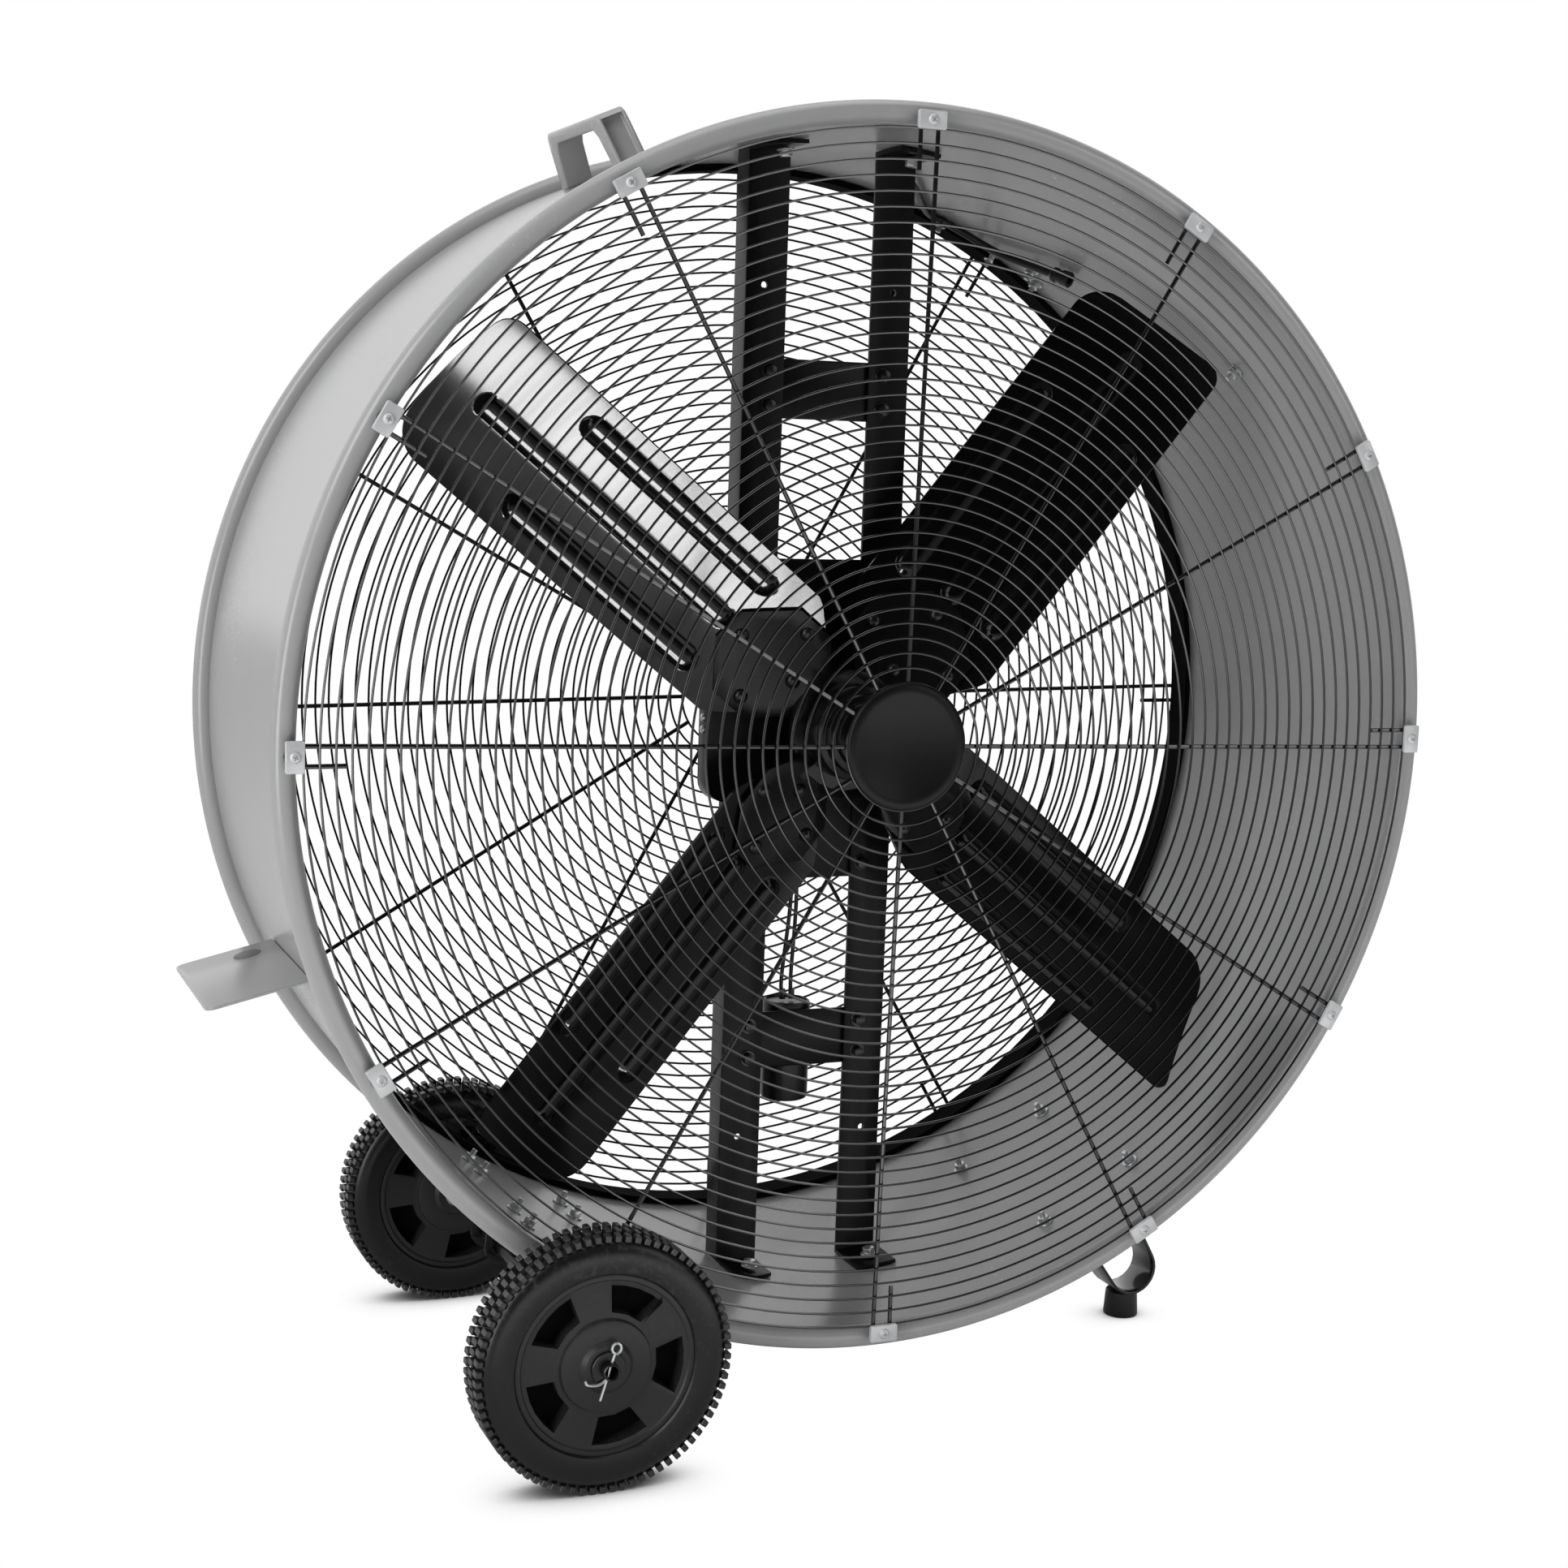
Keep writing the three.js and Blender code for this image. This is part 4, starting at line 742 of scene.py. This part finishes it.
# Each place is an angle round the drum and a distance back from its middle.
WALL_BOLTS = [(67.6, 0.188), (57.0, 0.149), (54.8, 0.173), (60.2, 0.196), (40.3, -0.078), (46.0, 0.060),
              (46.0, 0.170)]
SADDLE_BOLTS = [(-65.4, -0.116), (-65.4, 0.080), (-53.9, -0.116), (-53.9, 0.080)]
HANGER_BOLTS = [(angle, side * 0.086 + step) for angle in (-124.4, -112.8) for side in (-1, 1)
                for step in (-0.024, 0.024)]
wall_bolts = []
stud = turned([(0, 0), (0.003, 0), (0.003, 0.0135), (0.0024, 0.014), (0, 0.014)], (0, 0, 0), (0, 0, 1), 16)
nut_on_stud = joined([set_down(head, (0, 0, 0), (0, 0, 1)), stud])
for angle, y in WALL_BOLTS + SADDLE_BOLTS + HANGER_BOLTS:
    place = on_drum(angle, y, SKIN_INSIDE - 0.0003)
    wall_bolts.append(set_down(nut_on_stud, place, Vector((hub.x, y, hub.z)) - place, (0, 1, 0)))
joined(wall_bolts)
fitted("wall_nuts", "frame", zinc, "zinc")
bpy.data.objects.remove(nut_on_stud)

# ---------------------------------------------------------------- switch box and knob
# A black moulded box sits on the right of the drum, near the rear. Its front face carries the speed knob,
# a fluted cap.

softened("switch_box", 0.0018, 3)
fitted("control_box", "frame", black_plastic, "black_plastic", "switch_box")
knob_low, knob_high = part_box("speed_knob")
knob = (knob_low + knob_high) / 2
GRIP = (knob_high.x - knob_low.x) / 2
cap = [(0, knob_low.y), (GRIP - 0.004, knob_low.y), (GRIP - 0.003, knob_low.y + 0.001),
       (GRIP - 0.002, knob_high.y - 0.004), (GRIP, knob_high.y - 0.003), (GRIP, knob_high.y),
       (0, knob_high.y)]
knob_cap = turned(cap, (knob.x, 0, knob.z), steps=72)
FLUTES, FLUTE = 18, 0.0013
peg((knob.x + GRIP - 0.0018, knob_low.y + 0.004, knob.z), FLUTE, 0.016, 12)
cut_away(knob_cap, repeated_round(FLUTES, (knob.x, 0, knob.z)))
fitted("knob_cap", "knob", black_plastic, "black_plastic", "speed_knob")

# ---------------------------------------------------------------- guards
# Each guard is a flat cage of close wire rings welded to twelve spokes. A spoke is bent back at the rim
# like a hairpin, with a short leg beside the long one. The front guard is of dark drawn wire, and the rear
# one is painted black.

RING_WIRE = 0.0012
SPOKE_WIRE = 0.0022
RING_PITCH = 0.0140
RINGS = 37
LEGS_APART = 0.0175
SHORT_LEG = 0.043
LOOP_RADIAL = 0.5700
SPOKES = 12


def cage(side, first_ring, spoke_start):
    """A whole guard in front of (-1) or behind (1) the drum."""
    spoke_y = side * (BEAD_Y + BEAD + SPOKE_WIRE + 0.0002)
    ring_y = spoke_y + side * (SPOKE_WIRE + RING_WIRE - 0.0002)
    bpy.ops.object.select_all(action="DESELECT")
    bpy.ops.mesh.primitive_circle_add(vertices=6, radius=RING_WIRE)
    bpy.ops.object.mode_set(mode="EDIT")
    bpy.ops.transform.translate(value=(hub.x + first_ring, ring_y, hub.z))
    for _ in range(RINGS - 1):
        bpy.ops.mesh.duplicate_move(TRANSFORM_OT_translate={"value": (RING_PITCH, 0, 0)})
    bpy.ops.mesh.select_all(action="SELECT")
    bpy.ops.mesh.spin(steps=168, angle=2 * math.pi, center=(hub.x, 0, hub.z), axis=(0, 1, 0))
    rings = closed_up()
    half = LEGS_APART / 2
    loop = [Vector((hub.x + LOOP_RADIAL + half * math.cos(a), spoke_y, hub.z - side * half * math.sin(a)))
            for a in (math.radians(-90 + 18 * i) for i in range(11))]
    centre_end = Vector((hub.x + spoke_start, spoke_y, hub.z))
    short_end = Vector((hub.x + LOOP_RADIAL - SHORT_LEG, spoke_y, hub.z - side * half))
    long_leg = [centre_end, Vector((hub.x + LOOP_RADIAL - 0.01, spoke_y, hub.z + side * half))]
    tube([*long_leg, *loop, short_end], SPOKE_WIRE, 8)
    return joined([rings, repeated_round(SPOKES, (hub.x, 0, hub.z))])


dark_wire = finish("dark_wire", (0.085, 0.085, 0.088), 0.24, metallic=1.0, wander=0.1, grain=300,
                   relief=0.03)
cage(-1, 0.0605, 0.02)
fitted("front_cage", "frame", dark_wire, "front_wire", "front_guard")
wire_black = finish("wire_black", (0.006, 0.006, 0.006), 0.45, wander=0.1, grain=500, relief=0.03,
                    sheen=0.25)
cage(1, 0.0560, 0.056)
fitted("rear_cage", "frame", wire_black, "rear_wire", "rear_guard")

# ---------------------------------------------------------------- guard clips and centre disc
# Twelve pressed plates, each with one cross-head screw, hold the front guard's hairpins on the bead. The
# plain black disc in the middle covers the ends of the spokes.

clip_plate = finish("clip_plate", (0.50, 0.51, 0.52), 0.38, metallic=0.25, wander=0.06, grain=260,
                    relief=0.05)
screw = turned([(0, 0), (0.0052, 0), (0.0052, 0.0006), (0.0044, 0.0019), (0.0028, 0.0027), (0, 0.0030)],
               (0, 0, 0), (0, 0, 1), 28)
CROSS_WIDTH, CROSS_LENGTH, CROSS_DEPTH = 0.0010, 0.0046, 0.003
for width, length in ((CROSS_WIDTH, CROSS_LENGTH), (CROSS_LENGTH, CROSS_WIDTH)):
    cut_away(screw, block((0, 0, CROSS_DEPTH), (width, length, CROSS_DEPTH)))
clip_screws = []
for i in range(SPOKES):
    softened(f"guard_clip_{i + 1}", 0.0006)
    fitted(f"clip_plate_{i + 1}", "frame", clip_plate, "zinc", f"guard_clip_{i + 1}")
    low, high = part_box(f"guard_clip_{i + 1}")
    middle = (low + high) / 2
    turn = 0.4 + 1.7 * i  # each screw was stopped at another angle
    clip_screws.append(set_down(screw, (middle.x, low.y, middle.z), (0, -1, 0),
                                (math.cos(turn), 0, math.sin(turn))))
joined(clip_screws)
fitted("clip_screws", "frame", clip_plate, "zinc")
bpy.data.objects.remove(screw)

badge_low, badge_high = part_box("centre_badge")
BADGE = (badge_high.x - badge_low.x) / 2
disc = [(0, badge_low.y + 0.0002), (BADGE - 0.012, badge_low.y), (BADGE - 0.011, badge_low.y - 0.0006),
        (BADGE - 0.006, badge_low.y - 0.0006), (BADGE - 0.0020, badge_low.y + 0.0004),
        (BADGE - 0.0004, badge_low.y + 0.0020), (BADGE, badge_high.y), (0, badge_high.y)]
turned(disc, (hub.x, 0, hub.z), steps=96)
badge_black = finish("badge_black", (0.0025, 0.0025, 0.0025), 0.4, wander=0.1, grain=400, relief=0.05,
                     sheen=0.2)
fitted("plain_centre_disc", "frame", badge_black, "black_plastic", "centre_badge")

# ---------------------------------------------------------------- handle and side tab
# The lifting handle is a grey casting bolted to the top of the drum, hollowed in the front of its leg. The
# side tab is a bent sheet that stands out from the left of the drum, with one hole closed by a flat disc
# whose dark grey is painted shade.

handle = softened("handle", 0.0022, 3)
HANDLE_ANGLE = 114
leg_middle = on_drum(HANDLE_ANGLE, -0.0885, SKIN_OUTSIDE + 0.0305)
pocket = block((0, 0, 0), (0.0225, 0.018, 0.045))
eased(0.0022, 3)
LEG_SLOPE = 0.0105 / 0.036
lean = Matrix.Rotation(-math.atan(LEG_SLOPE), 4, "X")
upright = Matrix.Rotation(math.radians(90 - HANDLE_ANGLE), 4, "Y")
pocket.data.transform(Matrix.Translation(leg_middle) @ upright @ lean)
cut_away(handle, pocket)
fitted("cast_handle", "frame", drum_grey, "drum_paint", "handle", smooth=40)

tab = softened("side_bracket", 0.0008)
tab_top = max((face for face in tab.data.polygons if face.normal.z > 0.5), key=lambda face: face.area)
tab_up, tab_middle = tab_top.normal.copy(), tab_top.center.copy()
fitted("bent_tab", "frame", drum_grey, "drum_paint", "side_bracket")
TAB_ANGLE = 203
SHADE_DISC_OUT, SHADE_DISC_Y, SHADE_DISC = 0.032, 0.061, 0.0135
shade_disc_place = on_drum(TAB_ANGLE, SHADE_DISC_Y, SKIN_OUTSIDE) + tab_up.cross(Vector((0, 1, 0))) * SHADE_DISC_OUT
shade_disc_place -= tab_up * (shade_disc_place - tab_middle).dot(tab_up)
turned([(0, -0.0005), (SHADE_DISC, -0.0005), (SHADE_DISC, 0.0002), (SHADE_DISC - 0.0006, 0.0005), (0, 0.0005)],
       shade_disc_place, tab_up, 40)
# The disc's dark grey is painted shade, a dark spot on the tab.
shade_disc_grey = finish("shade_disc_grey", (0.10, 0.10, 0.101), 0.5, wander=0.2, grain=200, relief=0.05)
fitted("tab_shade_disc", "frame", shade_disc_grey, "drum_paint")

# ---------------------------------------------------------------- axle, hangers and wheels
# Two pressed hangers under the drum carry the axle. Each wheel is a solid rubber tyre with three rows of
# lugs on a dark moulded disc with five deep pockets. A washer and a cotter pin hold it, and the pin crosses
# the open end of the axle.

axle_low, axle_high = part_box("axle")
axle = (axle_low + axle_high) / 2
AXLE = (axle_high.z - axle_low.z) / 2
BORE_DEPTH = 0.034
AXLE_INSIDE = AXLE - 0.0018
rod = [(0, BORE_DEPTH), (AXLE_INSIDE, BORE_DEPTH), (AXLE_INSIDE, 0.0004), (AXLE - 0.0010, 0), (AXLE, 0.0010)]
turned([(r, axle_low.y + y) for r, y in rod] + [(r, axle_high.y - y) for r, y in reversed(rod)],
       (axle.x, 0, axle.z), steps=32)
fitted("axle_rod", "frame", black_bolts, "zinc", "axle")
for node, name in (("front_axle_hanger", "front_hanger"), ("rear_axle_hanger", "rear_hanger")):
    softened(node, 0.0007)
    fitted(name, "frame", satin_black, "black_paint", node)

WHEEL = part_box("front_tyre")[1].z / 2
RIM = 0.085
tyre_rubber = finish("tyre_rubber", (0.005, 0.005, 0.005), 0.30, wander=0.4, grain=160, relief=0.10,
                     dust=0.34, dust_tone=0.05, sheen=0.3)
# The lugs get a lighter, dustier copy of the tyre's black rubber. It is partly dust and partly a painted
# highlight on the tread blocks, so they stand out from the black grooves.
lug_dust_and_highlight = finish("lug_dust_and_highlight", (0.016, 0.016, 0.016), 0.42, wander=0.5, grain=200, relief=0.12,
                    dust=0.5, dust_tone=0.07)
disc_plastic = finish("disc_plastic", (0.014, 0.014, 0.014), 0.36, wander=0.25, grain=300, relief=0.10,
                      dust=0.18, dust_tone=0.04, sheen=0.3)
LUGS = 78
LUG_ROWS = ((-0.0158, 0.0105), (0.0, 0.0125), (0.0158, 0.0105))  # middle and width of each row
LUG_LENGTH, LUG_DEPTH = 0.0058, 0.0064


def lug_row(centre, offset, width, turn):
    """One row of rubber blocks round a wheel."""
    block((centre.x, centre.y + offset, centre.z + WHEEL - LUG_DEPTH / 2), (LUG_LENGTH, width, LUG_DEPTH))
    bpy.ops.object.mode_set(mode="EDIT")
    bpy.ops.mesh.select_all(action="SELECT")
    bpy.ops.mesh.bevel(offset=0.0008, segments=1, affect="EDGES")
    bpy.ops.mesh.select_all(action="SELECT")
    bpy.ops.transform.rotate(value=turn, orient_axis="Y", center_override=centre)
    return repeated_round(LUGS, centre)


def edged_ring(bore, radius, start, end, centre):
    """A ring turned along the fan's axis, with its outer edges broken."""
    EDGE = 0.0005
    return turned([(bore, start), (radius - EDGE, start), (radius, start + EDGE), (radius, end - EDGE),
                   (radius - EDGE, end), (bore, end)], (centre.x, 0, centre.z), steps=48)


STRAIGHT_LEG = [(0.0045, 0.0155), (0.0005, 0.0020), (-0.0040, -0.0130), (-0.0085, -0.0275)]
BENT_LEG = [(0.0040, 0.0155), (-0.0005, 0.0020), (-0.0030, -0.0070), (-0.0110, -0.0120), (-0.0210, -0.0110),
            (-0.0235, -0.0070)]
DISC_BORE = 0.0142
WEB = 0.001  # half the thickness of the sheet in the middle of the pockets
POCKETS, POCKET_INSIDE, POCKET_OUTSIDE, POCKET_HALF = 5, 0.049, 0.075, math.radians(21)
for end, body in (("front", "front_wheel"), ("rear", "rear_wheel")):
    low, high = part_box(f"{end}_tyre")
    centre = (low + high) / 2
    half = (high.y - low.y) / 2
    tread = WHEEL - 0.0060
    wall = [(RIM, half - 0.0030), (RIM + 0.0015, half - 0.0012), (RIM + 0.0060, half - 0.0004),
            (RIM + 0.0140, half), (RIM + 0.0210, half - 0.0006), (tread - 0.0050, half - 0.0024),
            (tread - 0.0012, half - 0.0046), (tread, half - 0.0070)]
    outline = [(r, -y) for r, y in wall] + [(tread + 0.0006, 0)] + [(r, y) for r, y in reversed(wall)]
    carcass = turned(outline, centre, steps=144)
    joined([lug_row(centre, offset, width, math.pi / LUGS * (i % 2))
            for i, (offset, width) in enumerate(LUG_ROWS)])
    fitted(f"{end}_tyre_lugs", body, lug_dust_and_highlight, "rubber")
    joined([carcass])
    fitted(f"{end}_tyre_carcass", body, tyre_rubber, "rubber", f"{end}_tyre")

    disc_low, disc_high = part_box(f"{end}_wheel_disc")
    reach = (disc_high.y - disc_low.y) / 2
    profile = [(RIM - 0.0003, half - 0.0034), (RIM - 0.0045, half - 0.0030), (RIM - 0.0060, half - 0.0046),
               (0.0470, half - 0.0062), (0.0440, half - 0.0058), (0.0425, half - 0.0022),
               (0.0400, half - 0.0012), (0.0250, half - 0.0008), (0.0225, half + 0.0012), (0.0210, reach),
               (DISC_BORE, reach)]
    outline = [(r, -y) for r, y in profile] + [(r, y) for r, y in reversed(profile)]
    disc = turned(outline, centre, steps=96)
    pockets = []
    for i in range(POCKETS):
        middle = math.radians(66 + 360 / POCKETS * i)
        outline = [(POCKET_INSIDE, middle + POCKET_HALF * 0.86 * k) for k in (-1, 0, 1)]
        outline += [(POCKET_OUTSIDE, middle + POCKET_HALF * (1 - 0.5 * k)) for k in range(5)]
        for side in (-1, 1):
            corners = [centre + Vector((r * math.cos(a), side * WEB, r * math.sin(a))) for r, a in outline]
            traced(corners + corners[:1])
            bpy.ops.mesh.edge_face_add()
            bpy.ops.mesh.extrude_region_move(TRANSFORM_OT_translate={"value": (0, side * 0.04, 0)})
            pockets.append(closed_up())
    cut_away(disc, joined(pockets))
    eased(0.0012, 2, 50)
    fitted(f"{end}_moulded_disc", body, disc_plastic, "wheel_plastic", f"{end}_wheel_disc")
    # A matt black sheet on the floor of each pocket is painted shade: it makes the pockets darker than the
    # disc's own plastic.
    shade_face = WEB + 0.0006
    inside, outside = POCKET_INSIDE - 0.001, POCKET_OUTSIDE + 0.001
    turned([(inside, -shade_face), (outside, -shade_face), (outside, shade_face), (inside, shade_face)],
           centre, steps=72)
    fitted(f"{end}_pocket_painted_shade", body, painted_shade_black, "wheel_plastic")

    bush_low, bush_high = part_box(f"{end}_wheel_bush")
    edged_ring(AXLE + 0.0004, DISC_BORE - 0.0003, bush_low.y, bush_high.y, centre)
    fitted(f"{end}_bush", body, ground_steel, "steel", f"{end}_wheel_bush")

    washer_low, washer_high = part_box(f"{end}_washer")
    washer = (washer_high.x - washer_low.x) / 2
    edged_ring(AXLE + 0.0003, washer, washer_low.y, washer_high.y, centre)
    fitted(f"{end}_washer_ring", "frame", black_bolts, "zinc", f"{end}_washer")

    pin_low, pin_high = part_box(f"{end}_cotter_pin")
    pin = Vector((axle.x, (pin_low.y + pin_high.y) / 2, axle.z))
    eye = [pin + Vector((0.0058 + 0.0044 * math.sin(a), 0, 0.0200 - 0.0050 * math.cos(a))) for a in
           (math.radians(-25 + 37 * i) for i in range(11))]
    legs = [tube(eye, 0.0013, 8)]
    for side, bends in ((1, STRAIGHT_LEG), (-1, BENT_LEG)):
        leg = [pin + Vector((x, side * 0.0008, z)) for x, z in bends]
        legs.append(tube(eased_route(leg, 5), 0.0012, 8))
    joined(legs)
    fitted(f"{end}_split_pin", "frame", zinc, "zinc", f"{end}_cotter_pin")

# ---------------------------------------------------------------- foot
# A curved saddle under the right of the drum carries a flat black bar bent to a loop, and a black rubber
# foot is bolted under the loop.

softened("foot_saddle", 0.0007)
fitted("curved_saddle", "frame", drum_grey, "drum_paint", "foot_saddle")
strap_black = finish("strap_black", (0.005, 0.005, 0.005), 0.16, wander=0.4, grain=140, relief=0.05,
                     dust=0.2, dust_tone=0.10, coat=0.5)
softened("foot_strap", 0.0006)
fitted("bent_bar", "frame", strap_black, "black_paint", "foot_strap", smooth=40)
foot_low, foot_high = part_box("rubber_foot")
foot = (foot_low + foot_high) / 2
FOOT = 0.0190
pad = [(0, 0), (FOOT - 0.0015, 0), (FOOT - 0.0003, 0.0008), (FOOT, 0.0025),
       (FOOT - 0.0016, foot_high.z - 0.0012), (FOOT - 0.0026, foot_high.z), (0, foot_high.z)]
turned(pad, (foot.x, foot.y, 0), (0, 0, 1), 64)
foot_rubber = finish("foot_rubber", (0.010, 0.010, 0.010), 0.34, wander=0.3, grain=240, relief=0.10,
                     dust=0.2, dust_tone=0.10)
fitted("foot_pad", "frame", foot_rubber, "rubber", "rubber_foot")

bpy.data.objects.remove(head)
bpy.data.objects.remove(small_screw)

# ---------------------------------------------------------------- the box round what is shown
low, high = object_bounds()
